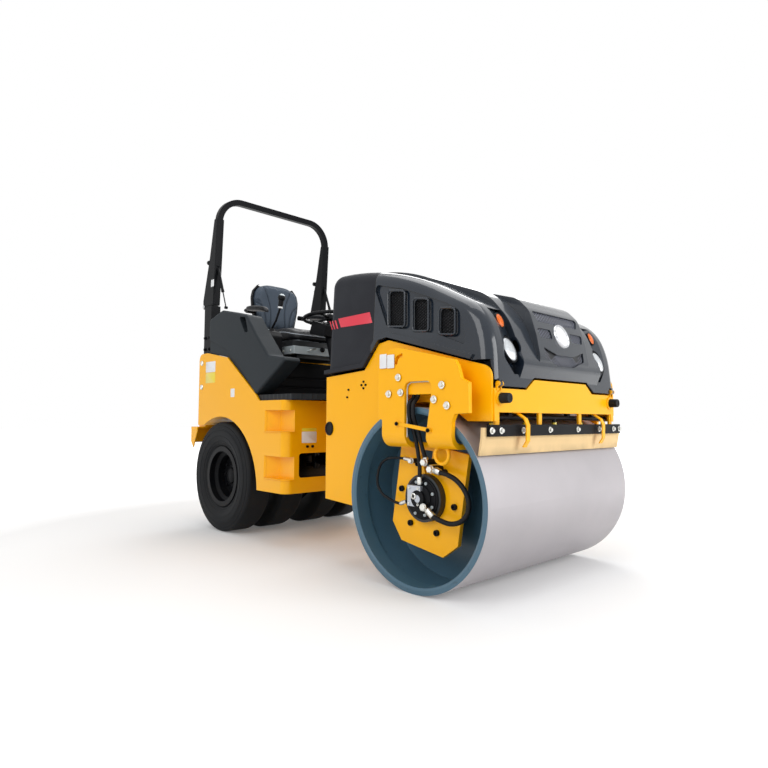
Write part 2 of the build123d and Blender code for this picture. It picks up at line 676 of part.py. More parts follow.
def rops_hoop():
    """Folding hoop: bent square tube, the gusset behind each leg and the hinge eyes."""
    low, top, half = hinge_z + 3, rops_top_z - rops_tube / 2, rops_tube / 2
    path = FilletPolyline((leg_x(low - 30), -rops_y, low - 30), (leg_x(top), -rops_y, top),
                          (leg_x(top), rops_y, top), (leg_x(low - 30), rops_y, low - 30),
                          radius=[rops_bend_r, rops_bend_r])
    section = Plane(origin=path @ 0, z_dir=path % 0, x_dir=(0, 1, 0))
    hoop = sweep(section * Rectangle(rops_tube, rops_tube), path)
    hoop -= block(-1500, -1100, -700, 700, low - 200, low)
    fit, t = half + seat_gap, rops_plate_t
    rear = sleeve_points[0][0]
    sleeve = side_slab([(leg_x(low, half), low), (rear, low)] + sleeve_points
                       + [(leg_x(rops_sleeve_z, half), rops_sleeve_z)],
                       -rops_y - fit - t, -rops_y + fit + t)
    room = side_slab([(-1100, low - 1), (rear - 1, low - 1), (rear - 1, hinge_z + 28),
                      (rear + t, hinge_z + 28)] + [(x + t, z) for x, z in sleeve_points]
                     + [(-1100, rops_sleeve_z)], -rops_y - fit, -rops_y + fit)
    tube = side_slab([(leg_x(low, -fit), low - 1), (leg_x(3000, -fit), 3000), (-1000, 3000),
                      (-1000, low - 1)], -rops_y - fit, -rops_y + fit)
    sleeve = sleeve - room - tube
    eye = y_bar(hinge_x, hinge_z, -rops_y - fit - t, -rops_y - fit, hinge_eye_r)
    eye += y_bar(hinge_x, hinge_z, -rops_y + fit, -rops_y + fit + t, hinge_eye_r)
    sleeve = sleeve + eye - y_bar(hinge_x, hinge_z, -700, -400, hinge_pin_r)
    return [hoop, sleeve, other_side(sleeve)]


def rops_pins():
    """Pins of the hoop's hinges, each with a head."""
    reach = rops_tube / 2 + seat_gap + rops_plate_t
    pin = y_bar(hinge_x, hinge_z, -rops_y - reach - 6, -rops_y + reach + 6, hinge_pin_r - 0.3)
    return pair(pin + y_bar(hinge_x, hinge_z, -rops_y - reach - 6, -rops_y - reach - 0.5, 15))


# ---------------------------------------------------------------- front frame
def front_frame():
    """Side plates, rear wall, deck under the engine and rests for the hood."""
    low, top = front_low_z, 1084
    points = [
        (front_wall_x, low, 0), (front_wall_x, top, 0), (575, 1108, 0), (690, 1245, 0),
        (765, 1258, 0), (1310, 1110, 0), (front_end_x, 1080, 60), (front_end_x, beam_end_z, 0),
        (drum_x + 280, beam_end_z, 0), (drum_x, drum_z + 150, 0), (547, belly_z, 0),
    ]
    arch = y_bar(drum_x, drum_z, -700, 700, drum_r + drum_room)
    side = side_slab(points, -body_y, -inner_y) - arch
    back = front_wall_x + frame_t
    wall = block(front_wall_x, back, -inner_y, inner_y, low, top)
    deck = block(back, 1300, -inner_y, inner_y, crossdeck_z - 15, crossdeck_z)
    belly = block(back, 520, -inner_y, inner_y, low + 7, low + 19)
    rest = block(front_wall_x, back, -480, -430, top, top + 14 - seat_gap)
    return side + other_side(side) + wall + deck + belly + rest + other_side(rest)


def front_beam():
    """Box beam across the front: raised middle, hood hinges, mat brackets and mat hooks."""
    face, back = beam_x, beam_x - beam_t
    (rise, foot), low, end = beam_rise_y, beam_low_z, beam_end_z
    half = [(rise, beam_rise_z), (foot, beam_top_z), (beam_y, beam_top_z), (beam_y, end),
            (beam_y - 23, end), (beam_y - 33, low)]
    beam = front_slab([(-y, z) for y, z in half] + half[::-1], back, face)
    beam += block(1300, back, -beam_y, beam_y, beam_top_z - beam_t, beam_top_z)
    beam += block(1300, back, -beam_y, beam_y, low, low + beam_t)
    for y in (-hood_hinge_y, hood_hinge_y):
        for ear_y in (y - 13, y + 13):
            beam += block(hood_hinge_x - 12, hood_hinge_x, ear_y - 3, ear_y + 3, 972, hood_hinge_z)
            beam += y_bar(hood_hinge_x, hood_hinge_z, ear_y - 3, ear_y + 3, 12)
        beam += y_bar(hood_hinge_x, hood_hinge_z, y - 18, y + 18, hood_pin_r)
    for y in (-560, -200, 200, 560):
        beam += block(1418, mat_bar_x - mat_bar_t - seat_gap, y - 15, y + 15, 806, low + 2)
    hook = [(1395, 876), (1419, 870), (1461, 844), (1474, 813), (1472, 741), (1454, 712)]
    for y in (-hook_y, hook_y):
        beam += ribbon(hook, hook_t, y - hook_width / 2, y + hook_width / 2)
    return beam


def ribbon(path, thick, y0, y1):
    """Plate of the given thickness bent along a path in the side view."""
    sides = ([], [])
    for i, (x, z) in enumerate(path):
        (xa, za), (xb, zb) = path[max(i - 1, 0)], path[min(i + 1, len(path) - 1)]
        run = hypot(xb - xa, zb - za)
        across = ((za - zb) / run * thick / 2, (xb - xa) / run * thick / 2)
        sides[0].append((x + across[0], z + across[1]))
        sides[1].append((x - across[0], z - across[1]))
    return side_slab(sides[0] + sides[1][::-1], y0, y1)


def buffers():
    """Two rubber buffers on the front beam."""
    start = beam_x + seat_gap
    return pair(bar((start, -buffer_y, buffer_z), (start + buffer_reach, -buffer_y, buffer_z),
                    buffer_r, buffer_r - 2))


def mat_bar():
    """Flat bar that clamps the drum's mat to the beam's brackets."""
    z0, z1 = mat_bar_z
    return block(mat_bar_x - mat_bar_t, mat_bar_x, -mat_bar_y, mat_bar_y, z0, z1)


def drum_mat():
    """Fibre mat that hangs behind its bar and wipes the drum."""
    back, (x, z), low = mat_bar_x - mat_bar_t - seat_gap, mat_low, mat_bar_z[0]
    return side_slab([(back - mat_t, 804), (back, 804), (back, low), (x + mat_t, z), (x, z),
                      (back - mat_t - 2, low)], -mat_y, mat_y)


def spray_bar():
    """Sprinkler pipe under the beam with five nozzles and four clamps."""
    pipe = y_bar(spray_x, spray_z, -spray_y, spray_y, spray_r)
    for k in (-2, -1, 0, 1, 2):
        y = k * nozzle_pitch
        pipe += bar((spray_x, y, spray_z), (spray_x + 2, y, spray_z - 38), nozzle_r)
    for y in (-410, -137, 137, 410):
        pipe += block(spray_x - 12, spray_x + 10, y - 13, y + 13, spray_z, beam_low_z - seat_gap)
    return pipe


# ---------------------------------------------------------------- drum's arms and drive
arm_points = [  # (x, z) round the arm before it is bent
    (830, 690), (830, 835), (800, 845), (800, 1120), (882, 1190), (952, 1194), (1297, 1113),
    (1318, 1085), (1337, 1025), (1380, 1005), (1381, 868), (1302, 864), (1286, 830), (1281, 690),
]
slot_points = [  # (x, z, corner radius) round the slot for the hoses
    (988, 640, 0), (988, 1022, 30), (1161, 1022, 30), (1161, 953, 20), (1125, 742, 20),
    (1125, 640, 0),
]
plate_points = [(-220, 262), (-220, -180), (-142, -260), (142, -260), (222, -180), (222, 262)]
notch_points = [(971, 688), (1044, 682), (1036, 628), (1002, 588), (1002, 543), (967, 649)]


def bent_strip():
    """Arm's plate as bent: upright outside the drum, then turned inward as a flange."""
    out, r, low, t = -arm_out_y, arm_bend_r, arm_flange_z, arm_t
    end = -carrier_y + carrier_t / 2
    turn = 1 - cos(radians(45))
    lines = [
        Edge.make_line((0, out, 1300), (0, out, low + r)),
        Edge.make_three_point_arc((0, out, low + r), (0, out + r * turn, low + r * turn),
                                  (0, out + r, low)),
        Edge.make_line((0, out + r, low), (0, end, low)),
        Edge.make_line((0, end, low), (0, end, low + t)),
        Edge.make_line((0, end, low + t), (0, out + r, low + t)),
        Edge.make_three_point_arc((0, out + r, low + t),
                                  (0, out + t + (r - t) * turn, low + t + (r - t) * turn),
                                  (0, out + t, low + r)),
        Edge.make_line((0, out + t, low + r), (0, out + t, 1300)),
        Edge.make_line((0, out + t, 1300), (0, out, 1300)),
    ]
    return Pos(790, 0, 0) * extrude(make_face(lines), 700, dir=(1, 0, 0))


def drum_arm(side):
    """Bent arm outside the drum, the leaning plate that holds the motor, and a tie ring."""
    end, out = -carrier_y + carrier_t / 2, -arm_out_y
    arm = bent_strip() & side_slab(arm_points, out - 1, end)
    arm -= side_slab(slot_points, out - 5, -carrier_y - 60)
    arm -= ribbon([(972, 1156), (937, 1145), (925, 1112)], 20, out - 5, out + arm_t + 5)
    turn = radians(carrier_lean)
    spun = [(drum_x + x * cos(turn) - z * sin(turn), drum_z + x * sin(turn) + z * cos(turn))
            for x, z in plate_points]
    plate = side_slab(spun, -carrier_y - carrier_t / 2, end)
    out_y, in_y = -carrier_y - 150, -carrier_y + 50
    plate -= block(0, 2000, out_y, 0, arm_flange_z + arm_t, 900)
    plate -= y_bar(drum_x, drum_z, out_y, in_y, motor_hole_r)
    plate -= side_slab(notch_points, out_y, in_y)
    spacer = block(850, 1250, -arm_in_y, -body_y - seat_gap, 960, 1090)
    strap = side_slab([(930, 828), (930, 811), (1165, 778), (1165, 797)], out - 6, out + 1)
    ring = Pos(tie_ring_x, tie_ring_y, arm_flange_z - 28) * Rot(90, 0, 0) * Torus(
        tie_ring_r, tie_bar_r)
    return on_side(side, arm + plate + spacer + strap + ring)


def drum_motor(side):
    """Hub motor in the carrier plate with its shaft in the drum's disc, and the port block."""
    inside = -carrier_y + carrier_t / 2 + seat_gap
    body = y_bar(drum_x, drum_z, -motor_y, inside, motor_hole_r - seat_gap)
    body += y_bar(drum_x, drum_z, inside, -carrier_y + 60, motor_flange_r)
    body += y_bar(drum_x, drum_z, -carrier_y + 60, -disc_y + drum_disc_t + 20, motor_shaft_r)
    return on_side(side, body + block(944, 1030, -motor_y - port_block_t, -motor_y + 1, 411, 513))


hose_table = [  # (radius, (x, depth from the drum's end, z)): ends in the fittings below
    (7, [(955, 65, 632), (933, 65, 637), (888, 65, 641), (776, 65, 638), (719, 65, 605),
         (694, 65, 543), (695, 65, 489), (730, 65, 446), (787, 63, 425), (844, 61, 411),
         (893, 57, 412), (920, 55, 430), (943.7, 55, 430)]),
    (12, [(1098, 55, 600), (1128, 55, 587), (1175, 55, 583), (1240, 55, 560),
          (1290, 55, 517), (1317, 55, 462), (1306, 55, 403), (1259, 55, 362),
          (1199, 53, 349), (1136, 49, 363), (1090, 45, 378), (1062, 43, 412)]),
    (10, [(1006, 15, 959.7), (1006, 15, 945), (1006, -21, 918), (1006, -21, 850),
          (1008, 13, 780), (1014, 33, 700), (1026, 37, 610), (1012, 51, 555),
          (1012, 53, 513.3)]),
    (10, [(1034, 15, 959.7), (1034, 15, 945), (1034, -21, 918), (1034, -21, 850),
          (1038, 13, 780), (1046, 29, 710), (1056, 35, 668), (1066, 43, 632)]),
]
fitting_table = [  # (x, z, radius, outer depth, inner depth) of what holds the hoses' ends
    (955, 632, 12, 53, 112.2), (1098, 600, 17, 38, 112.2), (1062, 416, 17, 25, 74.7),
    (1066, 632, 14, 29, 112.2),
]


def drum_hoses():
    """Four hoses at each end of the drum with their fittings."""
    pieces = []
    for r, points in hose_table:
        tube = hose([(x, depth - drum_half, z) for x, depth, z in points], r)
        for x, z, fitting_r, outer, inner in fitting_table:
            if min(hypot(points[k][0] - x, points[k][2] - z) for k in (0, -1)) < 6:
                tube += y_bar(x, z, outer - drum_half, inner - drum_half, fitting_r)
        pieces += pair(tube)
    return pieces


def engine():
    """Plain block at the engine's place and size."""
    return block(430, 1050, -230, 230, crossdeck_z, 1450)


# ---------------------------------------------------------------- hood
hood_points = [  # (x, z, corner radius) of the hood's own line over the side walls
    (front_wall_x, 600, 0), (front_wall_x, 1694.7, 80), (740, 1678, 1800), (1360, 1370, 260),
    (1422, 1201, 500), (1474.7, 600, 0),
]
rib_points = [  # of its raised middle
    (front_wall_x, 900, 0), (front_wall_x, 1712, 80), (620, 1706, 1200), (1250, 1470, 300),
    (1375, 1330, 300), (1464, 1110, 60), (1430, 1020, 60), (1430, 900, 0),
]
snout_points = [  # of the part round the badge
    (1100, 1000, 0), (1100, 1480, 0), (1180, 1500, 60), (1330, 1455, 120), (1400, 1385, 120),
    (1440, 1260, 200), (1462, 1150, 100), (1455, 1095, 60), (1432, 1040, 40), (1430, 1000, 0),
]
dish_points = [(386, 1054), (386, 1374), (500, 1374), (500, 1130), (430, 1054)]
intake_points = [  # (x, z) round the recess in a side wall
    (647, 1578), (860, 1522), (1021, 1462), (1170, 1401), (1240, 1359), (1269, 1286),
    (1286, 1187), (1105, 1260), (789, 1322), (746, 1339), (650, 1536),
]
intake_holes = [  # corners of its three openings
    [(746, 1530), (873, 1511), (884, 1318), (759, 1331)],
    [(932, 1460), (1041, 1445), (1049, 1277), (942, 1288)],
    [(1113, 1387), (1215, 1374), (1221, 1243), (1119, 1254)],
]
grille_holes = [  # (y, z) corners of the openings round the badge
    [(-225, 1386), (225, 1386), (190, 1332), (-190, 1332)],
    [(-228, 1297), (-96, 1297), (-96, 1248), (-206, 1248)],
    [(228, 1297), (96, 1297), (96, 1248), (206, 1248)],
    [(-197, 1200), (-80, 1168), (80, 1168), (197, 1200), (190, 1150), (80, 1112), (-80, 1112),
     (-190, 1150)],
]


def hood_block(inset):
    """Hood as a solid, drawn in by inset: tapered body, raised middle and snout."""
    (low_y, high_y), (low_z, high_z) = hood_wall_y, hood_wall_z
    slope = (high_y - low_y) / (high_z - low_z)
    foot_y, head_y = low_y + slope * (600 - low_z) - inset, low_y + slope * (1800 - low_z) - inset
    face = offset(side_face(hood_points), -inset) if inset else side_face(hood_points)
    body = extrude(face, 700, dir=(0, 1, 0), both=True)
    body &= front_slab([(-foot_y, 600), (foot_y, 600), (head_y, 1800), (-head_y, 1800)], 0, 2000)
    corners = [e for e in body.edges() if abs(e.center().Y) > 500 and e.center().Z > 620
               and e.center().X > front_wall_x + inset + 1]
    body = fillet(corners, hood_shoulder_r - inset)
    parts = [body]
    for points, half in ((rib_points, hood_rib_y), (snout_points, hood_snout_y)):
        face = offset(side_face(points), -inset) if inset else side_face(points)
        parts.append(extrude(face, half - inset, dir=(0, 1, 0), both=True))
    return parts[0] + parts[1] + parts[2]


def lamp_hollows(grow):
    """Both dishes that the lamps sit in, grow larger all round."""
    slide = (lamp_dish + grow, 0, 0)
    points = [(x - slide[0], z, r) for x, z, r in hood_points]
    run = lamp_dish_y - hood_rib_y
    keep = extrude(side_face(points, -hood_rib_y), hypot(lamp_dish, run), dir=(lamp_dish, -run, 0))
    outer = front_slab([(-y, z) for y, z in dish_points], 1280, 1500)
    if grow:
        (y0, z0), (y1, z1) = (hood_rib_y - grow, 1054 - grow), (lamp_dish_y + grow, 1374 + grow)
        outer = front_slab([(-y0, z0), (-y0, z1), (-y1, z1), (-y1, 1126), (-430, z0)], 1280, 1500)
        keep += extrude(side_face(points, -hood_rib_y), 10, dir=(0, 1, 0))
    return pair(outer - keep)


def wall_face(points, radius):
    """Face on the right-hand side wall's own plane from (x, z) points."""
    slope = (hood_wall_y[0] - hood_wall_y[1]) / (hood_wall_z[1] - hood_wall_z[0])
    lean = [(x, -hood_wall_y[0] + (z - hood_wall_z[0]) * slope, z) for x, z in points]
    return outline(lean, radius)


def into_wall(points, radius, start, depth):
    """Slab sunk square into the right-hand side wall from depth start for the given depth."""
    slope = (hood_wall_y[0] - hood_wall_y[1]) / (hood_wall_z[1] - hood_wall_z[0])
    inward = Vector(0, 1, -slope).normalized()
    face = wall_face(points, radius).moved(Location(inward * start))
    return extrude(face, depth, dir=tuple(inward))


def grown(points, by):
    """Outline moved outwards by the given distance from its middle."""
    mid_x, mid_z = sum(x for x, _ in points) / len(points), sum(z for _, z in points) / len(points)
    reach = [(x - mid_x, z - mid_z) for x, z in points]
    return [(mid_x + x * (1 + by / hypot(x, z)), mid_z + z * (1 + by / hypot(x, z)))
            for x, z in reach]


def lamp_plane(y, z, x):
    """Plane of a lamp's face, leaning back with the hood's nose."""
    lean = radians(lamp_lean)
    return Plane(origin=(x, y, z), x_dir=(0, 1, 0), z_dir=(cos(lean), 0, sin(lean)))


def lamps(gap):
    """Right-hand headlamp and indicator as plugs through the nose, gap wider all round."""
    head = lamp_plane(-lamp_y, lamp_z, 1389)
    side = lamp_plane(-indicator_y, indicator_z, 1367)
    wide, tall = indicator_size
    back = (Align.CENTER, Align.CENTER, Align.MAX)
    reach = 45 + gap * 200
    disc = head * Pos(0, 0, gap * 200) * Cylinder(lamp_r + gap, reach + gap * 200, align=back)
    outer = Plane(side.origin + side.z_dir * gap * 200, x_dir=side.x_dir, z_dir=side.z_dir)
    pill = extrude(outer * RectangleRounded(wide + 2 * gap, tall + 2 * gap, wide / 2 - 1),
                   -(reach + gap * 200))
    return [disc, pill]


def hood():
    """Moulded hood, open underneath and hinged at its lower front edge."""
    shell = hood_block(0)
    for hollow in lamp_hollows(0):
        shell -= hollow
    recess = into_wall(intake_points, [20, 0, 60, 0, 40, 30, 12, 0, 30, 20, 0], -5,
                       intake_depth + 5)
    shell = shell - recess - other_side(recess)
    room = hood_block(hood_t)
    for hollow in lamp_hollows(8):
        room -= hollow
    deep = into_wall(grown(intake_points, 9), 0, -5, intake_depth + 13)
    shell -= room - deep - other_side(deep)
    for corners in intake_holes:
        hole = into_wall(corners, 22, -10, 80)
        shell = shell - hole - other_side(hole)
    for corners in grille_holes:
        shell -= front_slab(corners, 1330, 1500, 12 if len(corners) == 4 else 0)
    for plug in lamps(shaft_gap):
        shell = shell - plug - other_side(plug)
    wall = hood_wall_y[0]
    bead = side_slab([(front_wall_x, 1098), (582, 1122), (700, 1262), (768, 1272), (1321, 1118),
                      (1336, 1140), (768, 1302), (690, 1290), (570, 1148), (front_wall_x, 1124)],
                     -wall - hood_bead_t, -wall + 14)
    shell = shell + bead + other_side(bead)
    shell -= side_slab([(200, 600), (200, 1098), (582, 1122), (700, 1262), (768, 1272),
                        (1321, 1118), (1321, hood_low_z), (1500, hood_low_z), (1500, 600)],
                       -700, 700)
    shell -= front_slab([(-340, 900), (340, 900), (340, hood_low_z), (264, 1044), (-264, 1044),
                         (-340, hood_low_z)], 1300, 1500)
    narrow = block(1321, 1500, -700, -581, 900, 1114)
    slot = block(1300, 1500, -700, -hood_hinge_y + 22, 900, 1022)
    shell = shell - narrow - other_side(narrow) - slot - other_side(slot)
    for y in (-hood_hinge_y, hood_hinge_y):
        lug = block(hood_hinge_x - 4, hood_hinge_x + 4, y - 9, y + 9, hood_hinge_z, 1026)
        lug += y_bar(hood_hinge_x, hood_hinge_z, y - 9, y + 9, 12)
        shell += lug - y_bar(hood_hinge_x, hood_hinge_z, y - 20, y + 20, hood_pin_r + shaft_gap)
    return shell


def front_lamps():
    """Two headlamps and two indicators."""
    return [item for plug in lamps(0.0) for item in pair(plug)]


def hood_grilles():
    """Mesh panels behind the hood's openings."""
    panels = []
    for corners in intake_holes:
        panels += pair(into_wall(grown(corners, 16), 22, intake_depth + 8 + seat_gap, panel_t))
    near, far = hood_t + seat_gap, hood_t + seat_gap + panel_t
    half = hood_snout_y - hood_t - 1
    layer = extrude(offset(side_face(snout_points), -near), half, dir=(0, 1, 0), both=True)
    layer -= extrude(offset(side_face(snout_points), -far), half + 5, dir=(0, 1, 0), both=True)
    for corners in grille_holes:
        panels.append(layer & front_slab(grown(corners, 8), 1330, 1500))
    return panels


# ---------------------------------------------------------------- articulation
def rear_yoke():
    """Fork on the rear frame's front wall with the articulation pin."""
    (low, high), wall = yoke_z, rear_wall_x + seat_gap
    fork = bar((pivot_x, 0, low - 15), (pivot_x, 0, high + 15), pin_r)
    for z0, z1 in ((low, low + yoke_t), (high - yoke_t, high)):
        fork += plan_slab([(wall, -160), (-60, -yoke_r), (pivot_x, -yoke_r), (pivot_x, yoke_r),
                           (-60, yoke_r), (wall, 160)], z0, z1)
        fork += bar((pivot_x, 0, z0), (pivot_x, 0, z1), yoke_r)
    return fork + block(wall, wall + 15, -70, 70, low, high)


def front_yoke():
    """Block on the front frame's rear wall that turns on the pin, with the rod's lugs."""
    z0, z1 = yoke_z[0] + yoke_t + yoke_gap, yoke_z[1] - yoke_t - yoke_gap
    wall, half = front_wall_x - seat_gap, yoke_r - 5
    tongue = plan_slab([(wall, -140), (70, -half), (pivot_x, -half), (pivot_x, half), (70, half),
                        (wall, 140)], z0, z1)
    tongue += bar((pivot_x, 0, z0), (pivot_x, 0, z1), half + 2)
    tongue -= bar((pivot_x, 0, 300), (pivot_x, 0, 800), pin_r + shaft_gap)
    y = cyl_front[1]
    return tongue + clevis(cyl_front, [(wall, y - 45), (wall, y + 45)])


def along_cylinder(distance):
    """Point on the steering cylinder's line, measured from its rear pin."""
    (x0, y0), (x1, y1) = cyl_rear, cyl_front
    length = hypot(x1 - x0, y1 - y0)
    return (x0 + (x1 - x0) * distance / length, y0 + (y1 - y0) * distance / length, cyl_z)


def cylinder_eye(pin):
    """Closed eye between two lugs."""
    x, y = pin
    return bar((x, y, cyl_z - half_eye), (x, y, cyl_z + half_eye), cyl_eye_r)


def cylinder_barrel():
    """Barrel with its rear eye and the gland that the rod slides in."""
    tube = bar(along_cylinder(cyl_eye_r + 8), along_cylinder(cyl_barrel), cyl_r)
    tube += bar(along_cylinder(cyl_eye_r - 8), along_cylinder(cyl_eye_r + 10), cyl_rod_r + 4)
    tube += bar(along_cylinder(cyl_barrel - 30), along_cylinder(cyl_barrel), cyl_r + 4)
    tube -= bar(along_cylinder(60), along_cylinder(cyl_barrel + 1), cyl_rod_r + shaft_gap)
    return cylinder_eye(cyl_rear) + tube


def cylinder_rod():
    """Bright rod with its front eye."""
    length = hypot(cyl_front[0] - cyl_rear[0], cyl_front[1] - cyl_rear[1])
    inner = along_cylinder(cyl_barrel - cyl_hidden_rod)
    return bar(inner, along_cylinder(length - 20), cyl_rod_r) + cylinder_eye(cyl_front)


def build():
    """Every node of the machine by name."""
    right_tyres, right_rims = wheel_set(-1)
    left_tyres, left_rims = wheel_set(1)
    return {
        "drum": drum(),
        "tyres_right": right_tyres, "rims_right": right_rims,
        "tyres_left": left_tyres, "rims_left": left_rims,
        "rear_frame": rear_frame(), "rear_sides": rear_sides(),
        "rear_front_wall": rear_front_wall(), "step_boxes": step_boxes(),
        "rear_axle": rear_axle(), "rear_bumper": rear_bumper(),
        "platform_floor": platform_floor(), "fender_right": console(-1), "fender_left": console(1),
        "seat_base": chair_base(), "seat_slide": chair_slide(), "seat_cushion": chair_cushion(),
        "seat_back": chair_back(), "armrests": chair_arms(),
        "control_console": control_console(), "travel_lever": travel_lever(),
        "steering_column": steering_column(), "steering_wheel": steering_wheel(),
        "rops_posts": rops_posts(), "rops_hoop": rops_hoop(), "rops_pins": rops_pins(),
        "front_frame": front_frame(), "front_beam": front_beam(), "buffers": buffers(),
        "mat_bar": mat_bar(), "drum_mat": drum_mat(), "spray_bar": spray_bar(),
        "drum_arm_right": drum_arm(-1), "drum_arm_left": drum_arm(1),
        "drum_motor_right": drum_motor(-1), "drum_motor_left": drum_motor(1),
        "drum_hoses": drum_hoses(), "engine": engine(),
        "hood": hood(), "front_lamps": front_lamps(), "hood_grilles": hood_grilles(),
        "rear_yoke": rear_yoke(), "front_yoke": front_yoke(),
        "steer_barrel": cylinder_barrel(), "steer_rod": cylinder_rod(),
    }


os.makedirs("parts", exist_ok=True)
for name, piece in build().items():
    solids = piece if isinstance(piece, list) else [piece]
    whole = Compound(children=[s for item in solids for s in item.solids()])
    export_step(whole, f"parts/{name}.step")
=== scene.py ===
"""Looks of a compact combination roller: finishes, padded chair, small fittings and the studio."""
import json
import math

import bmesh
import bpy
import numpy as np
from mathutils import Matrix, Vector
from mathutils.bvhtree import BVHTree


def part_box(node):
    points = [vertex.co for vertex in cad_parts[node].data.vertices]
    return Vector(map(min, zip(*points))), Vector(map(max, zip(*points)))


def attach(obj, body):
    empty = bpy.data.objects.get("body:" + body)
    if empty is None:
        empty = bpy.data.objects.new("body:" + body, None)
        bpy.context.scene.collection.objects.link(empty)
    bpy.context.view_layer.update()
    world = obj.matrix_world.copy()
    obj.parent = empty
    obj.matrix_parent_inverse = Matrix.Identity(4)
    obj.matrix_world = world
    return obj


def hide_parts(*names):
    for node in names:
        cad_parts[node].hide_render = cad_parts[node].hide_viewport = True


bl_info = {
    "name": "Combination roller looks",
    "version": (1, 0, 0),
    "blender": (4, 5, 0),
    "location": "3D View > Sidebar > Roller",
    "description": "Finishes, padded chair, small fittings and studio for a compact roller",
    "category": "Object",
}

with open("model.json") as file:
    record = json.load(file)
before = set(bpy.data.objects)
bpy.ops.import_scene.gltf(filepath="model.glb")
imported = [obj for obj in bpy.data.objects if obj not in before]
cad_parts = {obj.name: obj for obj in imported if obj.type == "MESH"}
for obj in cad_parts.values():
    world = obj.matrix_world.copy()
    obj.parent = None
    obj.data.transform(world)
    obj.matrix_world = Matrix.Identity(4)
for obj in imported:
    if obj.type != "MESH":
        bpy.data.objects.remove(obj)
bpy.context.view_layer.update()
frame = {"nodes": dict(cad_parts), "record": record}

# Directions, and places on the CAD frame in metres. Pieces are made on the right-hand side, at
# negative Y, and both() adds their mirror images.
AHEAD, BACK, RIGHT, LEFT, UP = (1, 0, 0), (-1, 0, 0), (0, -1, 0), (0, 1, 0), (0, 0, 1)
DRUM_AXLE = np.array([1.010, 0.0, 0.450])
CARRIER_FACE, MOTOR_FACE, PORT_FACE = -0.5625, -0.600, -0.640   # outer faces at the drum's end
FRAME_SIDE = -0.600             # side plates of both frames
REAR_FRAME_FRONT = -0.180       # front wall of the rear frame
HOOD_WALL_Y, HOOD_WALL_Z = 0.612, 1.100         # half width of the hood at this height
HOOD_WALL_SLOPE = 0.032 / 0.600                 # how fast it narrows upwards
ROLL_BAR_Y = 0.531              # middle of the roll bar's legs
SEAT_PIVOT = (-1.205, 1.520)    # (x, z) of the backrest's hinge


# ---------------------------------------------------------------- surfaces
def circle(count, start=0.0):
    """Angles all the way round, evenly spaced."""
    return start + np.linspace(0, 2 * math.pi, count, endpoint=False)


def unit(rows):
    """Each row as a vector of length one."""
    return rows / np.linalg.norm(rows, axis=-1, keepdims=True)


def grid(points, along=False, ends=True):
    """Faces over rows and columns of points: quads between neighbours, joined round the columns
    and, where asked, along the rows, or with a flat face over the first and the last row."""
    rows, columns = points.shape[:2]
    i = np.arange(rows if along else rows - 1)[:, None]
    j = np.arange(columns)[None, :]
    next_i, next_j = (i + 1) % rows * columns, (j + 1) % columns
    quads = np.stack(np.broadcast_arrays(i * columns + j, i * columns + next_j,
                                         next_i + next_j, next_i + j), -1).reshape(-1, 4)
    faces = [quads]
    if ends and not along:
        ring = np.arange(columns)
        faces.append(np.stack([ring[::-1], (rows - 1) * columns + ring]))
    return points.reshape(-1, 3), faces


def lathe(profile, sides=24, along=False):
    """Surface of revolution about Z: a profile's (height h, radius r) goes round at every angle a
    as (r cos a, r sin a, h)."""
    height, radius = np.array(profile, float).T[:, :, None]
    angle = circle(sides)
    return grid(np.stack([radius * np.cos(angle), radius * np.sin(angle),
                          height + 0 * angle], -1), along)


def dome(radius, height, sides=24, rows=6, foot=0.0):
    """Cap of an ellipsoid on a short cylinder of height foot: radius r cos t, height h sin t."""
    turn = np.linspace(0, math.pi / 2, rows)
    rise = np.stack([foot + height * np.sin(turn), radius * np.cos(turn)], -1)
    return lathe(np.vstack([[(0.0, radius)], rise]), sides)


def tube(path, radius, up, sides=10, closed=False):
    """Circle of the given radius carried along a path, square to it, with up for its frame.
    The radius is one number or one for each point of the path."""
    path = np.array(path, float)
    if closed:
        way = np.roll(path, -1, 0) - np.roll(path, 1, 0)
    else:
        way = np.gradient(path, axis=0)
    side = unit(np.cross(up, way))
    other = unit(np.cross(way, side))
    angle = circle(sides)[:, None]
    ring = np.cos(angle) * side[:, None] + np.sin(angle) * other[:, None]
    reach = np.broadcast_to(radius, len(path))[:, None, None]
    return grid(path[:, None] + reach * ring, along=closed)


def rounded(width, height, radius, steps=5):
    """Closed outline (x, y) of a rectangle with round corners: a circle of angle a whose centre
    jumps to each corner in turn."""
    angle = np.linspace(0, math.pi / 2, steps)[None] + np.arange(4)[:, None] * math.pi / 2
    middle = angle[:, :1] + math.pi / 4
    x = np.sign(np.cos(middle)) * (width / 2 - radius) + radius * np.cos(angle)
    y = np.sign(np.sin(middle)) * (height / 2 - radius) + radius * np.sin(angle)
    return np.stack([x, y], -1).reshape(-1, 2)


def film(outline, normal, thick, sunk=0.001):
    """Thin plate over a closed outline of points: the outline sunk under the surface it lies on,
    the same outline at 0.7 of the thickness, and one drawn in by half the thickness on top."""
    outline, normal = np.array(outline, float), np.array(normal, float)
    inward = unit(outline.mean(0) - outline)
    return grid(np.stack([outline - normal * sunk, outline + normal * thick * 0.7,
                          outline + normal * thick + inward * thick * 0.5]))


def side_film(x, z, width, height, thick, y=FRAME_SIDE):
    """Film with round corners, flat against the right-hand side."""
    return film([(x + u, y, z + v) for u, v in rounded(width, height, 0.005)], RIGHT, thick)


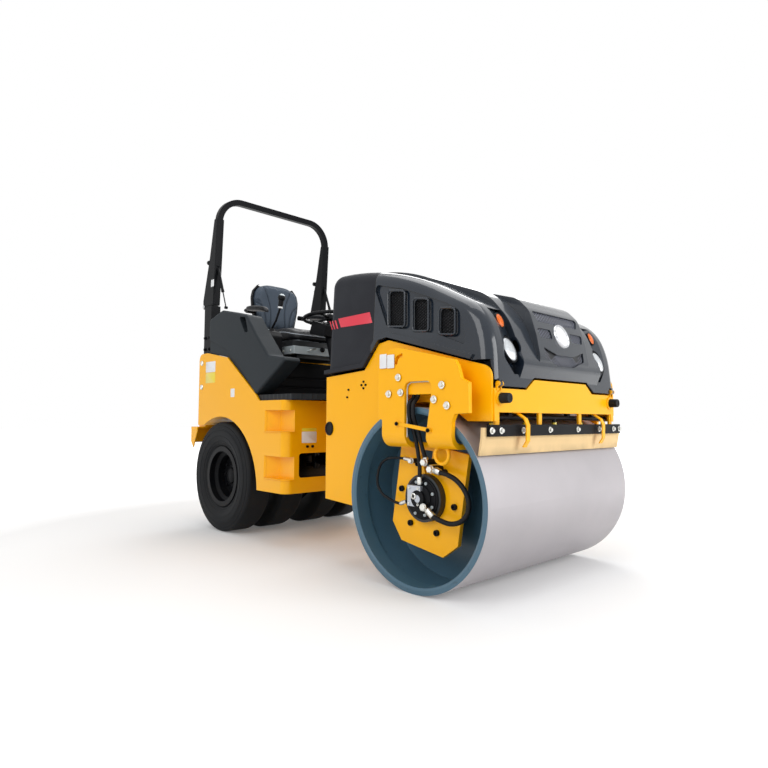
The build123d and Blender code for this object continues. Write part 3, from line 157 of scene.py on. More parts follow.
def placed(shape, places, axis, up=UP):
    """Copies of a shape: at each place its Z turns to axis, and its X across up and axis."""
    points, faces = shape
    places = np.atleast_2d(np.array(places, float))
    axis = unit(np.broadcast_to(np.array(axis, float), places.shape))
    side = unit(np.cross(up, axis))
    turn = np.stack([side, np.cross(axis, side), axis], 1)
    moved = np.einsum("pk,nkc->npc", points, turn) + places[:, None]
    step = (np.arange(len(places)) * len(points))[:, None, None]
    return moved.reshape(-1, 3), [(face[None] + step).reshape(-1, face.shape[1])
                                  for face in faces]


def stretched(shape, *factors):
    """The same shape, larger or smaller on each axis."""
    return shape[0] * factors, shape[1]


def joined(*shapes):
    """Several shapes as one."""
    start = np.cumsum([0] + [len(points) for points, _ in shapes])
    faces = [face + begin for begin, (_, group) in zip(start, shapes) for face in group]
    return np.vstack([points for points, _ in shapes]), faces


def both(*shapes):
    """Right-hand shapes and their mirror images, as one."""
    right = joined(*shapes)
    return joined(right, stretched(right, 1, -1, 1))


def hexagon_bolt(r, washer=1.45, height=0.9):
    """Hexagon head with a chamfered top on a round washer."""
    disc = lathe([(-0.001, r * washer), (r * 0.22, r * washer), (r * 0.25, r * washer * 0.95)])
    top = r * (0.25 + height)
    head = lathe([(r * 0.2, r), (top * 0.85, r), (top, r * 0.84)], 6)
    return joined(disc, head)


def socket_bolt(r):
    """Round head with a hollow middle."""
    return lathe([(-0.001, r), (r * 0.9, r), (r, r * 0.9), (r, r * 0.5), (r * 0.4, r * 0.46)])


# ---------------------------------------------------------------- pieces
def linked(name, data):
    """New object in the scene."""
    made = bpy.data.objects.new(name, data)
    bpy.context.scene.collection.objects.link(made)
    return made


def mesh_of(name, shape):
    """New mesh with a shape's points and faces."""
    points, faces = shape
    mesh = bpy.data.meshes.new(name)
    mesh.from_pydata(points.tolist(), [], [face for group in faces for face in group.tolist()])
    return mesh


def smooth(mesh):
    """Smooth shading on every face."""
    mesh.polygons.foreach_set("use_smooth", np.ones(len(mesh.polygons), bool))


def make(name, shape, body, slot, finish=None, angle=35.0):
    """Object from a shape, with outward faces and edges sharp from angle degrees, that rides on
    a body."""
    mesh = mesh_of(name, shape)
    work = bmesh.new()
    work.from_mesh(mesh)
    bmesh.ops.remove_doubles(work, verts=work.verts, dist=1e-6)
    bmesh.ops.recalc_face_normals(work, faces=work.faces)
    work.to_mesh(mesh)
    work.free()
    smooth(mesh)
    mesh.set_sharp_from_angle(angle=math.radians(angle))
    return owned(name, mesh, body, slot, finish)


def owned(name, mesh, body, slot, finish=None):
    """Object with a mesh and a finish, its own or its slot's, riding on its body."""
    mesh.materials.append(finish_named(finish or slot))
    piece = linked(name, mesh)
    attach(piece, body)
    return piece


def pair(name, shape, places, body, slot, finish=None, axis=RIGHT, up=UP):
    """Piece of copies of a shape, facing along axis, and their mirror images."""
    make(name, both(placed(shape, places, axis, up)), body, slot, finish)


def tree_of(mesh):
    """Search tree over a mesh's faces, for rays."""
    return BVHTree.FromPolygons([v.co for v in mesh.vertices],
                                [p.vertices for p in mesh.polygons])


def box(node):
    """Lowest and highest corners of a CAD node."""
    return [np.array(corner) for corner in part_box(node)]


# ---------------------------------------------------------------- shader maths
class Wire:
    """A node's output whose arithmetic adds Math nodes to its tree."""

    def __init__(self, nodes, socket):
        self.nodes = nodes
        self.socket = socket

    def _math(self, operation, *others, clamp=False):
        settings = {"operation": operation, "use_clamp": clamp}
        return self.nodes.node("ShaderNodeMath", settings, dict(enumerate((self, *others))))

    def __add__(self, other):
        return self._math("ADD", other)

    def __sub__(self, other):
        return self._math("SUBTRACT", other)

    def __mul__(self, other):
        return self._math("MULTIPLY", other)

    def __pow__(self, other):
        return self._math("POWER", other)

    def __neg__(self):
        return self * -1.0

    def __radd__(self, other):
        return self + other

    def __rmul__(self, other):
        return self * other

    def __rsub__(self, other):
        return -self + other

    def __gt__(self, other):
        return self._math("GREATER_THAN", other)

    def __lt__(self, other):
        return self._math("LESS_THAN", other)

    def sine(self):
        """Sine of a value in radians."""
        return self._math("SINE")

    def size(self):
        """The value without its sign."""
        return self._math("ABSOLUTE")

    def clamped(self):
        """The value kept between 0 and 1."""
        return self._math("ADD", 0.0, clamp=True)

    def ramp(self, low, high):
        """0 at low, 1 at high, straight between and level outside; low may be the larger."""
        return ((self - low) * (1.0 / (high - low))).clamped()


class Nodes:
    """A node tree under construction, and the methods that add nodes to it."""

    def __init__(self, tree):
        self.tree = tree

    def node(self, kind, settings=None, sockets=None, output=0):
        """Any node: its settings first, then the values or links of its sockets."""
        made = self.tree.nodes.new(kind)
        for key, value in (settings or {}).items():
            setattr(made, key, value)
        self.feed(made, sockets or {})
        return Wire(self, made.outputs[output])

    def feed(self, made, sockets):
        """Links or values for a node's sockets, by name or number."""
        for key, value in sockets.items():
            socket = made.inputs[key]
            if isinstance(value, Wire):
                self.tree.links.new(value.socket, socket)
            elif socket.type == "RGBA":
                socket.default_value = (*value, 1.0)
            else:
                socket.default_value = value

    def place(self):
        """Object coordinates, in metres."""
        return self.node("ShaderNodeTexCoord", output="Object")

    def scaled(self, *scale, turn=0.0):
        """Object coordinates turned about Z and scaled on each axis."""
        sockets = {"Vector": self.place(), "Rotation": (0.0, 0.0, turn), "Scale": scale}
        return self.node("ShaderNodeMapping", None, sockets)

    def axis(self, letter, vector=None):
        """One coordinate of the place, or of another vector, as a number."""
        return self.node("ShaderNodeSeparateXYZ", None, {0: vector or self.place()},
                         output=letter)

    def inside(self, low, high):
        """1 inside a box and 0 outside: the product of two steps on each axis."""
        steps = [(self.axis(letter) > a) * (self.axis(letter) < b)
                 for letter, a, b in zip("XYZ", low, high)]
        return steps[0] * steps[1] * steps[2]

    def radius(self, first, second):
        """Distance from an axis, from the two coordinates square to it."""
        return (first * first + second * second) ** 0.5

    def noise(self, scale, detail=3.0, vector=None):
        """Cloudy noise, about 0.3 to 0.7."""
        sockets = {"Vector": vector or self.place(), "Scale": scale, "Detail": detail}
        return self.node("ShaderNodeTexNoise", None, sockets, output="Fac")

    def cells(self, scale, feature="F1"):
        """Distance to the middle of the nearest of many scattered cells, or to another of their
        features."""
        sockets = {"Vector": self.place(), "Scale": scale}
        return self.node("ShaderNodeTexVoronoi", {"feature": feature}, sockets,
                         output="Distance")

    def wrap(self):
        """Slanting waves, as cloth wound round a hose leaves."""
        sockets = {"Vector": self.place(), "Scale": 160.0, "Distortion": 1.5}
        return self.node("ShaderNodeTexWave", {"bands_direction": "DIAGONAL"}, sockets,
                         output="Fac")

    def grain(self, scale):
        """Leathery grain: distance to the nearest edge between cells."""
        return self.cells(scale, "DISTANCE_TO_EDGE")

    def mix(self, factor, first, second):
        """Colour between first and second."""
        return self.node("ShaderNodeMix", {"data_type": "RGBA"},
                         {0: factor, 6: first, 7: second}, output=2)

    def seen(self):
        """1 for what the camera sees, straight or in a mirror or glass, 0 for other light."""
        rays = [self.node("ShaderNodeLightPath", output=kind)
                for kind in ("Is Camera Ray", "Is Glossy Ray", "Is Transmission Ray")]
        return (rays[0] + rays[1] + rays[2]).clamped()


class Finish(Nodes):
    """A material under construction, with its shader."""

    def __init__(self, name):
        self.material = bpy.data.materials.new(name + "_finish")
        self.material.use_nodes = True
        super().__init__(self.material.node_tree)
        self.tree.nodes.clear()
        out = self.tree.nodes.new("ShaderNodeOutputMaterial")
        self.shader = self.tree.nodes.new("ShaderNodeBsdfPrincipled")
        self.tree.links.new(self.shader.outputs[0], out.inputs[0])

    def set(self, **sockets):
        """Sockets of the shader, with underscores for the spaces in their names."""
        self.feed(self.shader, {key.replace("_", " "): value for key, value in sockets.items()})

    def bump(self, height, distance, strength=1.0, edge=0.0):
        """Normal from a height, on edges rounded by edge metres. Returns the material."""
        sockets = {"Height": height, "Distance": distance, "Strength": strength}
        if edge:
            sockets["Normal"] = self.node("ShaderNodeBevel", {"samples": 4}, {"Radius": edge})
        self.set(Normal=self.node("ShaderNodeBump", None, sockets))
        return self.material


def linear(red, green, blue):
    """Screen colour, 0 to 255 each, as the linear colour that a shader takes."""
    return tuple((c / 255 / 12.92) if c < 10.3 else ((c / 255 + 0.055) / 1.055) ** 2.4
                 for c in (red, green, blue))


def shade(colour, factor, lift=0.0):
    """A darker or lighter kind of a colour."""
    return tuple(c * factor + lift for c in colour)


# ---------------------------------------------------------------- finishes
def painted(name, colour, rough=0.32, dust=0.10, shine=0.5, hollow=None):
    """Baked paint: faint orange peel, slightly uneven gloss, a film of dust low down, and painted
    shade inside the box hollow where one is given: near-black there, for the shade inside the
    frame."""
    finish = Finish(name)
    peel = finish.noise(160.0, 2.0)
    patch = finish.noise(2.2, 4.0)
    film = finish.axis("Z").ramp(1.3, 0.1) * finish.noise(9.0, 6.0).ramp(0.45, 0.8) * dust
    tone = finish.mix(patch.ramp(0.3, 0.7) * 0.10, colour, shade(colour, 0.8))
    if hollow:
        # painted shade: near-black inside the hollow box, for the shade inside the frame
        tone = finish.mix(finish.inside(*hollow), tone, (0.006, 0.006, 0.006))
    finish.set(Base_Color=finish.mix(film, tone, (0.42, 0.37, 0.30)),
               Roughness=patch * 0.10 + film * 0.8 + (rough - 0.05), Coat_Weight=shine * 0.3,
               Coat_Roughness=0.12, Specular_IOR_Level=shine)
    return finish.bump(peel, 0.0004, 0.15, 0.003)


def mottled(name, colour, other, patch, ramp, rough, relief, bump, **constants):
    """One colour that goes part of the way to another over a coarse noise. patch is the noise's
    scale and detail, ramp its ends and how far the colour goes, rough the change of roughness
    over the noise and its start, relief a method that gives heights and its arguments, and bump
    their depth, strength and edge."""
    finish = Finish(name)
    noise = finish.noise(*patch)
    low, high, share = ramp
    method, *arguments = relief
    finish.set(Base_Color=finish.mix(noise.ramp(low, high) * share, colour, other),
               Roughness=noise * rough[0] + rough[1], **constants)
    return finish.bump(getattr(finish, method)(*arguments), *bump)


def moulded(name, colour, grain=900.0, rough=0.5):
    """Moulded plastic with a fine leathery grain."""
    return mottled(name, colour, shade(colour, 1.5, 0.004), (3.0, 3.0), (0.35, 0.7, 0.25),
                   (0.14, rough - 0.07), ("grain", grain), (0.0004, 0.35, 0.004),
                   Specular_IOR_Level=0.12)


def vinyl(name, colour):
    """Seat vinyl with a fine leather grain."""
    return mottled(name, colour, shade(colour, 0.75), (5.0, 3.0), (0.35, 0.7, 0.3),
                   (0.12, 0.39), ("grain", 520.0), (0.0006, 0.5, 0.004),
                   Specular_IOR_Level=0.25)


def rubber(name, colour):
    """Tyre rubber: dull, speckled and a little dusty."""
    return mottled(name, colour, (0.045, 0.043, 0.04), (6.0, 5.0), (0.4, 0.8, 0.2),
                   (0.15, 0.62), ("noise", 700.0, 2.0), (0.0006, 0.3, 0.003),
                   Specular_IOR_Level=0.2)


def hose_finish(name, colour):
    """Hose and buffer rubber: smooth black with faint marks of its cloth wrap."""
    return mottled(name, colour, (0.05, 0.046, 0.04), (14.0, 4.0), (0.5, 0.8, 0.3),
                   (0.2, 0.40), ("wrap",), (0.0005, 0.3, 0.002), Specular_IOR_Level=0.2)


def label(name, colour):
    """Blank plastic film: smooth, faintly mottled, with a soft sheen."""
    return mottled(name, colour, shade(colour, 0.8), (30.0, 3.0), (0.4, 0.7, 0.12),
                   (0.1, 0.28), ("noise", 30.0, 3.0), (0.0002, 0.2), Coat_Weight=0.3,
                   Coat_Roughness=0.1)


def steel(name, colour, rough, lines):
    """Turned or ground steel with fine lines across Y."""
    finish = Finish(name)
    streak = finish.noise(1.0, 3.0, finish.scaled(3.0, lines, 3.0))
    patch = finish.noise(4.0, 5.0)
    finish.set(Base_Color=finish.mix(patch.ramp(0.35, 0.75) * 0.4, colour, shade(colour, 0.72)),
               Metallic=1.0, Roughness=streak * 0.16 + patch * 0.12 + (rough - 0.12))
    return finish.bump(streak, 0.0003, 0.25, 0.0005)


def drum_finish(name, steel_colour, paint_colour, ends=(0.4488, 0.4496)):
    """Turned steel on the rolled face, which starts between the radii ends from the axle, and
    grey-blue paint on the drum's ends and inside."""
    finish = Finish(name)
    rolled = finish.radius(finish.axis("X") - DRUM_AXLE[0],
                           finish.axis("Z") - DRUM_AXLE[2]).ramp(*ends)
    streak = finish.noise(1.0, 3.0, finish.scaled(2.0, 420.0, 2.0))
    patch = finish.noise(3.0, 5.0)
    chip = finish.noise(38.0, 4.0).ramp(0.66, 0.70)
    metal = finish.mix(patch.ramp(0.35, 0.75) * 0.35, steel_colour, shade(steel_colour, 0.78))
    paint = finish.mix(chip * 0.35, paint_colour, shade(paint_colour, 0.4))
    finish.set(Base_Color=finish.mix(rolled, paint, metal), Metallic=rolled * 0.6,
               Roughness=rolled * (streak * 0.12 + patch * 0.10 + 0.06) + 0.32)
    return finish.bump(streak * rolled + patch * 0.4, 0.0003, 0.25, 0.004)


def hood_finish(name, rear_colour, front_colour, joint_x=0.6455):
    """Moulded hood: a grained matt panel behind the joint line, smooth gloss ahead of it."""
    finish = Finish(name)
    x = finish.axis("X")
    ahead = x.ramp(joint_x - 0.002, joint_x + 0.002)
    joint = (x - joint_x).size().ramp(0.0035, 0.0015)
    patch = finish.noise(2.5, 3.0)
    tone = finish.mix(ahead, rear_colour, front_colour)
    worn = finish.mix(patch.ramp(0.4, 0.7) * 0.18, tone, (0.075, 0.085, 0.095))
    finish.set(Base_Color=finish.mix(joint, worn, (0.004, 0.004, 0.005)),
               Roughness=0.50 - ahead * 0.27 + patch * 0.08, Coat_Weight=ahead * 0.8,
               Coat_Roughness=0.08, Specular_IOR_Level=0.12)
    relief = (finish.grain(420.0) * 0.5) * (1.0 - ahead) - joint * 3.0
    return finish.bump(relief, 0.0008, 0.4, 0.007)


def pressed_mesh(name, colour):
    """Pressed mesh: small round holes, painted near-black as painted shade of the hollow behind
    them.
    """
    finish = Finish(name)
    shaded_hole = finish.cells(210.0).ramp(0.42, 0.30)
    # painted shade: the holes are near-black for the dark hollow behind the mesh
    finish.set(Base_Color=finish.mix(shaded_hole, shade(colour, 1.6), (0.002, 0.002, 0.002)),
               Roughness=0.42 + shaded_hole * 0.3)
    return finish.bump(shaded_hole, 0.002, 0.9)


def fibre(name, colour, edge_z=(0.72, 0.675)):
    """Pressed fibre mat: pale and streaked, and stained towards its lower edge."""
    finish = Finish(name)
    thread = finish.noise(1.0, 4.0, finish.scaled(500.0, 60.0, 260.0))
    stain = finish.noise(7.0, 5.0)
    low = finish.axis("Z").ramp(*edge_z) * stain.ramp(0.3, 0.6) * 0.35
    tone = finish.mix(stain.ramp(0.4, 0.75) * 0.3, colour, shade(colour, 0.72))
    finish.set(Base_Color=finish.mix(low, tone, (0.12, 0.10, 0.07)),
               Roughness=thread * 0.1 + 0.82)
    return finish.bump(thread, 0.001, 0.6)


def lens(name, colour, lines=260.0, metal=0.0, gloss=1.0):
    """Clear moulded lens over a bright bowl: upright flutes and a glossy face."""
    finish = Finish(name)
    flute = (finish.axis("Y") * lines * math.pi).sine().size()
    facet = finish.cells(lines * 0.35)
    finish.set(Base_Color=finish.mix(flute.ramp(0.2, 0.9) * 0.5 + facet.ramp(0.2, 0.7) * 0.2,
                                     colour, shade(colour, 0.45)),
               Roughness=facet * 0.08 + 0.06, Metallic=metal, Coat_Weight=gloss,
               Coat_Roughness=0.03, Specular_IOR_Level=gloss * 0.5)
    return finish.bump(flute, 0.001, 0.5)


def motor_finish(name, colour, block_colour, face=0.6004):
    """Dark paint, with a bare cast port block outside the motor's face on both sides."""
    finish = Finish(name)
    block = finish.axis("Y").size().ramp(face, face + 0.0006)
    patch = finish.noise(8.0, 4.0)
    tone = finish.mix(patch.ramp(0.4, 0.7) * 0.4, colour, shade(colour, 2.2))
    finish.set(Base_Color=finish.mix(block, tone, block_colour), Metallic=block * 0.7,
               Roughness=patch * 0.15 + 0.38)
    return finish.bump(finish.noise(260.0, 3.0), 0.0008, 0.4, 0.003)


def chequered(name, colour, bars_per_metre=30.0):
    """Painted floor plate with raised bars that cross each other in turn: on each square of a
    grid turned by 45 degrees, bars run along one side or the other."""
    finish = Finish(name)
    turned = finish.scaled(*[bars_per_metre] * 3, turn=math.radians(45))
    checks = finish.node("ShaderNodeTexChecker", None, {"Vector": turned, "Scale": 1.0},
                         output="Fac")
    across, along = [(finish.axis(letter, turned) * math.pi).sine().size().ramp(0.80, 0.95)
                     for letter in "XY"]
    bars = checks * across + (1.0 - checks) * along
    finish.set(Specular_IOR_Level=0.15, Base_Color=colour, Roughness=0.45 - bars * 0.1)
    return finish.bump(bars, 0.002, 0.8, 0.003)


# box inside the rear frame where the yellow paint turns near-black, as painted shade
REAR_FRAME_SHADED_INSIDE = ((-0.860, -0.500, 0.400), (-0.186, 0.500, 0.960))

FINISHES = {  # each takes its own name and the colour settings
    # the yellow paint carries painted shade inside the rear frame's hollow
    "yellow_paint": lambda n, s: painted(n, s.yellow, dust=0.03, shine=0.28,
                                         hollow=REAR_FRAME_SHADED_INSIDE),
    "black_paint": lambda n, s: painted(n, s.black, rough=0.38, dust=0.02, shine=0.08),
    "dark_paint": lambda n, s: motor_finish(n, s.dark, (0.50, 0.53, 0.58)),
    "floor_plate": lambda n, s: chequered(n, s.dark),
    "grey_plastic": lambda n, s: moulded(n, s.console),
    "black_plastic": lambda n, s: moulded(n, s.black, 700.0, 0.45),
    "seat_black": lambda n, s: vinyl(n, s.seat_black),
    "seat_blue_grey": lambda n, s: vinyl(n, s.seat_grey),
    "bright_steel": lambda n, s: steel(n, (0.62, 0.63, 0.65), 0.22, 60.0),
    "cast_block": lambda n, s: painted(n, s.dark, rough=0.5, dust=0.2),
    "hood_plastic": lambda n, s: hood_finish(n, s.hood_rear, s.hood),
    "drum_steel": lambda n, s: drum_finish(n, s.drum, s.drum_paint),
    "tyre_rubber": lambda n, s: rubber(n, s.tyre),
    "black_rubber": lambda n, s: hose_finish(n, s.black),
    "mat_fibre": lambda n, s: fibre(n, s.mat),
    "lamp_glass": lambda n, s: moulded(n, s.black, 700.0, 0.35),
    "hood_mesh": lambda n, s: pressed_mesh(n, s.black),
    "clear_lens": lambda n, s: lens(n, (0.80, 0.84, 0.88), metal=0.35),
    "amber_lens": lambda n, s: lens(n, s.amber, 400.0, gloss=0.3),
    "white_film": lambda n, s: label(n, (0.80, 0.81, 0.82)),
    "yellow_film": lambda n, s: label(n, linear(236, 214, 60)),
    "red_film": lambda n, s: label(n, s.red),
    "silver_paint": lambda n, s: painted(n, linear(186, 196, 200), rough=0.34),
    "zinc": lambda n, s: steel(n, (0.70, 0.70, 0.66), 0.30, 40.0),
    # painted sheen: the front grille's black plastic wires in a lighter grey, for the sheen they
    # catch
    "mesh_grey": lambda n, s: painted(n, linear(112, 116, 130), rough=0.4),
    "piping": lambda n, s: vinyl(n, linear(168, 176, 184)),
}


def finish_named(name):
    """Material of that name, made the first time it is asked for."""
    made = bpy.data.materials.get(name + "_finish")
    return made or FINISHES[name](name, bpy.context.scene.roller_colours)


# ---------------------------------------------------------------- settings
def colour(name, description, *screen):
    """Colour setting, with its default as a screen colour."""
    return bpy.props.FloatVectorProperty(name=name, description=description, size=3,
                                         subtype="COLOR", min=0.0, max=1.0,
                                         default=linear(*screen))


def number(name, description, default, **kind):
    """Number setting, with its unit or subtype."""
    return bpy.props.FloatProperty(name=name, description=description, default=default, **kind)


def length(name, description, default):
    """Setting in metres."""
    return number(name, description, default, unit="LENGTH")


def power(name, description, default):
    """Setting in watts."""
    return number(name, description, default, unit="POWER")


def angle(name, description, degrees):
    """Setting that Blender keeps in radians, with its default in degrees."""
    return number(name, description, math.radians(degrees), subtype="ANGLE")


class RollerColours(bpy.types.PropertyGroup):
    """Colours of the roller's finishes."""

    yellow: colour("Yellow paint", "Paint of both frames", 254, 182, 0)
    black: colour("Black paint", "Roll bar, rims and small fittings", 14, 15, 18)
    dark: colour("Dark paint", "Axle, motors and chair base", 26, 29, 32)
    console: colour("Console", "Moulded consoles beside the chair", 38, 43, 47)
    hood: colour("Hood nose", "Glossy front of the hood", 18, 28, 40)
    hood_rear: colour("Hood rear", "Matt rear panel of the hood", 36, 37, 42)
    drum: colour("Drum steel", "Rolled face of the drum", 178, 174, 177)
    drum_paint: colour("Drum paint", "Ends and inside of the drum", 70, 103, 122)
    mat: colour("Mat", "Scraper mat over the drum", 232, 200, 148)
    amber: colour("Indicators", "Lenses of the indicators", 255, 118, 8)
    red: colour("Red film", "Blank plate and stripes on the hood", 214, 38, 62)
    tyre: colour("Tyre", "Tyre rubber", 20, 22, 25)
    seat_black: colour("Cushion", "Vinyl of the cushion", 18, 19, 23)
    seat_grey: colour("Backrest", "Vinyl of the backrest", 60, 71, 84)


class RollerSizes(bpy.types.PropertyGroup):
    """Sizes of the small pieces that a user may change."""

    bolt: length("Arm bolt", "Radius of the bolt heads on the drum's arms", 0.0125)
    piping: length("Piping", "Radius of the piping round the cushion", 0.0035)
    seam_depth: length("Seam depth", "Depth of the sewn lines in the backrest", 0.007)
    mesh_pitch: length("Mesh pitch", "Distance between the wires of the hood's meshes", 0.013)
    film: length("Film", "Thickness of the blank films and plates", 0.0012)
    swell: length("Swell", "Furthest that padding moves as it fills", 0.024)


class RollerStage(bpy.types.PropertyGroup):
    """Camera, floor and lights."""

    camera_place: bpy.props.FloatVectorProperty(
        name="Camera", description="Place of the camera", size=3, subtype="TRANSLATION",
        default=(3.0031, -2.7861, 0.8414), unit="LENGTH")
    camera_yaw: angle("Heading", "Direction of view in plan, from +X towards +Y", 136.11)
    camera_pitch: angle("Rise", "Rise of the view above level", 3.355)
    camera_roll: angle("Roll", "Turn of the view about its own axis", 0.3235)
    camera_lens: number("Lens", "Focal length in millimetres on a 36 mm frame", 27.73, min=5.0)
    key_power: power("Key light", "Power of the large light to the right", 165.0)
    top_power: power("Top light", "Power of the light overhead", 180.0)
    fill_power: power("Fill light", "Power of the light ahead of the machine", 200.0)
    rim_power: power("Rim light", "Power of the light behind the machine", 150.0)
    world_level: number("Room light", "Strength of the even light of the room", 0.50)
    floor_lift: number("Floor lift", "Light that the floor adds for the camera", 0.10)
    floor_near: length("Floor near", "Distance at which the floor starts to turn white", 2.6)
    floor_far: length("Floor far", "Distance from which the floor is white", 5.0)


# ---------------------------------------------------------------- operators
class ROLLER_OT_stage(bpy.types.Operator):
    """Camera, pale floor and soft studio lights"""

    bl_idname = "roller.stage"
    bl_label = "Studio"

    def execute(self, context):
        stage = context.scene.roller_stage
        self.camera(context.scene, stage)
        self.floor(stage)
        self.lights(stage)
        self.room(context.scene, stage)
        context.scene.view_settings.view_transform = "Standard"
        return {"FINISHED"}

    def camera(self, scene, stage):
        """From a camera that looks down -Z: roll about its axis, raise, then turn in plan."""
        data = bpy.data.cameras.new("camera")
        data.lens = stage.camera_lens
        data.sensor_width = 36.0
        data.clip_start = 0.05
        camera = linked("camera", data)
        camera.location = stage.camera_place
        camera.rotation_euler = (math.pi / 2 + stage.camera_pitch, 0.0,
                                 stage.camera_yaw - math.pi / 2)
        turn = camera.rotation_euler.to_matrix().to_4x4()
        turn = turn @ Matrix.Rotation(stage.camera_roll, 4, "Z")
        camera.rotation_euler = turn.to_euler()
        scene.camera = camera

    def floor(self, stage, far=40.0):
        """Square floor that turns white away from the machine, to the camera alone."""
        mesh = bpy.data.meshes.new("floor")
        mesh.from_pydata([(-far, -far, 0), (far, -far, 0), (far, far, 0), (-far, far, 0)], [],
                         [(0, 1, 2, 3)])
        finish = Finish("floor")
        away = finish.radius(finish.axis("X"),
                             finish.axis("Y")).ramp(stage.floor_near, stage.floor_far)
        lift = away * (1.0 - stage.floor_lift) + stage.floor_lift
        finish.set(Base_Color=(0.80, 0.80, 0.80), Roughness=0.7, Specular_IOR_Level=0.0,
                   Emission_Strength=1.0,
                   Emission_Color=finish.mix(finish.seen() * lift, (0.0, 0.0, 0.0),
                                             (1.0, 1.0, 1.0)))
        mesh.materials.append(finish.material)
        linked("floor", mesh)

    def lights(self, stage):
        """Square soft lights, each turned to the place it aims at."""
        rows = [  # name, place, aims at, size, power
            ("key", (1.5, -6.0, 4.2), (0.0, 0.0, 0.9), 4.0, stage.key_power),
            ("top", (0.3, 0.5, 6.5), (0.0, 0.0, 0.8), 5.0, stage.top_power),
            ("fill", (6.5, 1.5, 2.6), (0.6, 0.0, 0.8), 3.5, stage.fill_power),
            ("rim", (-3.5, 4.5, 4.5), (0.6, 0.0, 1.4), 4.5, stage.rim_power),
        ]
        for name, place, aim, size, watts in rows:
            data = bpy.data.lights.new(name, "AREA")
            data.energy = watts
            data.shape = "SQUARE"
            data.size = size
            light = linked(name, data)
            light.location = place
            away = Vector(place) - Vector(aim)
            light.rotation_euler = away.to_track_quat("Z", "Y").to_euler()

    def room(self, scene, stage):
        """Even light, which the camera sees as white."""
        scene.world = bpy.data.worlds.new("room")
        scene.world.use_nodes = True
        room = Nodes(scene.world.node_tree)
        level = room.seen() * (1.0 - stage.world_level) + stage.world_level
        room.feed(room.tree.nodes["Background"], {"Color": (1.0, 1.0, 1.0), "Strength": level})


class ROLLER_OT_finishes(bpy.types.Operator):
    """Give every CAD node the finish of its material slot"""

    bl_idname = "roller.finishes"
    bl_label = "Finishes"

    def execute(self, context):
        other = {"hood_grilles": "hood_mesh", "seat_slide": "silver_paint"}
        for part in frame["record"]["subparts"]:
            node = frame["nodes"][part["node"]]
            material = finish_named(other.get(part["node"], part["material_slot"]))
            if not node.material_slots:
                node.data.materials.append(material)
            for place in node.material_slots:
                place.material = material
        return {"FINISHED"}


# ---------------------------------------------------------------- padding
def bulge(value, power):
    """Signed power: keeps the sign and squares off a circle as the power falls."""
    return np.sign(value) * np.abs(value) ** power


def pad_grid(middle, half, thick, plan, rows=26, columns=72):
    """Superellipsoid: half widths a, b, c times cos u cos v, cos u sin v and sin u, each to a
    power below one that squares it off. Returns the points and the sine of u."""
    u = np.linspace(-math.pi / 2, math.pi / 2, rows)[:, None]
    v = circle(columns)[None]
    x = bulge(np.cos(u), thick) * bulge(np.cos(v), plan)
    y = bulge(np.cos(u), thick) * bulge(np.sin(v), plan)
    z = bulge(np.sin(u), thick) + 0 * v
    return np.stack([x, y, z], -1) * half + middle, z


FILL_PRESSURE, FILL_FRAMES = 4.0, 20            # of the cloth, from its first frame


def filled(name, points, cap, voxel=0.006, copy=lambda shape: shape):
    """Mesh of a padded piece over a grid of points: remeshed evenly, blown up as cloth with no
    gravity, held to a largest movement, and subdivided once."""
    pad = linked(name + "_form", mesh_of(name, copy(grid(points, ends=False))))
    remesh = pad.modifiers.new("Remesh", "REMESH")
    remesh.mode = "VOXEL"
    remesh.voxel_size = voxel
    pad.data = baked(pad)
    pad.modifiers.clear()
    rest = vertices(pad.data)
    cloth = pad.modifiers.new("Cloth", "CLOTH")
    cloth.settings.use_pressure = True
    cloth.settings.uniform_pressure_force = FILL_PRESSURE
    cloth.settings.effector_weights.gravity = 0.0
    cloth.collision_settings.use_collision = False
    for step in range(1, FILL_FRAMES + 1):
        bpy.context.scene.frame_set(step)
    moved = vertices(baked(pad)) - rest
    pad.modifiers.clear()
    bpy.context.scene.frame_set(1)
    reach = np.linalg.norm(moved, axis=1, keepdims=True)
    moved *= np.minimum(1.0, cap / np.maximum(reach, 1e-9))
    pad.data.vertices.foreach_set("co", (rest + moved).ravel())
    finer = pad.modifiers.new("Subdivision", "SUBSURF")
    finer.levels = finer.render_levels = 1
    mesh = baked(pad)
    bpy.data.objects.remove(pad)
    mesh.name = name
    smooth(mesh)
    return mesh


def baked(pad):
    """New mesh of an object as its modifiers leave it."""
    bpy.context.view_layer.update()
    graph = bpy.context.evaluated_depsgraph_get()
    return bpy.data.meshes.new_from_object(pad.evaluated_get(graph))


def vertices(mesh):
    """Places of a mesh's vertices, one row each."""
    points = np.empty(len(mesh.vertices) * 3)
    mesh.vertices.foreach_get("co", points)
    return points.reshape(-1, 3)


def distance_to(points, line):
    """Distance of each point to a line of straight runs."""
    start, run = line[:-1], np.diff(line, axis=0)
    share = ((points[:, None] - start) * run).sum(-1) / (run * run).sum(-1)
    near = start + np.clip(share, 0, 1)[..., None] * run
    return np.linalg.norm(points[:, None] - near, axis=-1).min(1)


def eased(line, steps=40):
    """Smooth curve through a few points: each coordinate goes by a cubic between neighbours."""
    line = np.array(line, float)
    at = np.linspace(0, len(line) - 1, steps)
    low = np.clip(at.astype(int), 0, len(line) - 2)
    t = (at - low)[:, None]
    slope = np.gradient(line, axis=0)
    return ((2 * t ** 3 - 3 * t ** 2 + 1) * line[low] + (t ** 3 - 2 * t ** 2 + t) * slope[low]
            + (3 * t ** 2 - 2 * t ** 3) * line[low + 1] + (t ** 3 - t ** 2) * slope[low + 1])


def hits(mesh, starts, ways):
    """Where lines from the starts first meet a mesh, or None where they don't."""
    tree = tree_of(mesh)
    ways = np.broadcast_to(np.array(ways, float), starts.shape)
    return [tree.ray_cast(start, way)[0] for start, way in zip(starts, ways)]


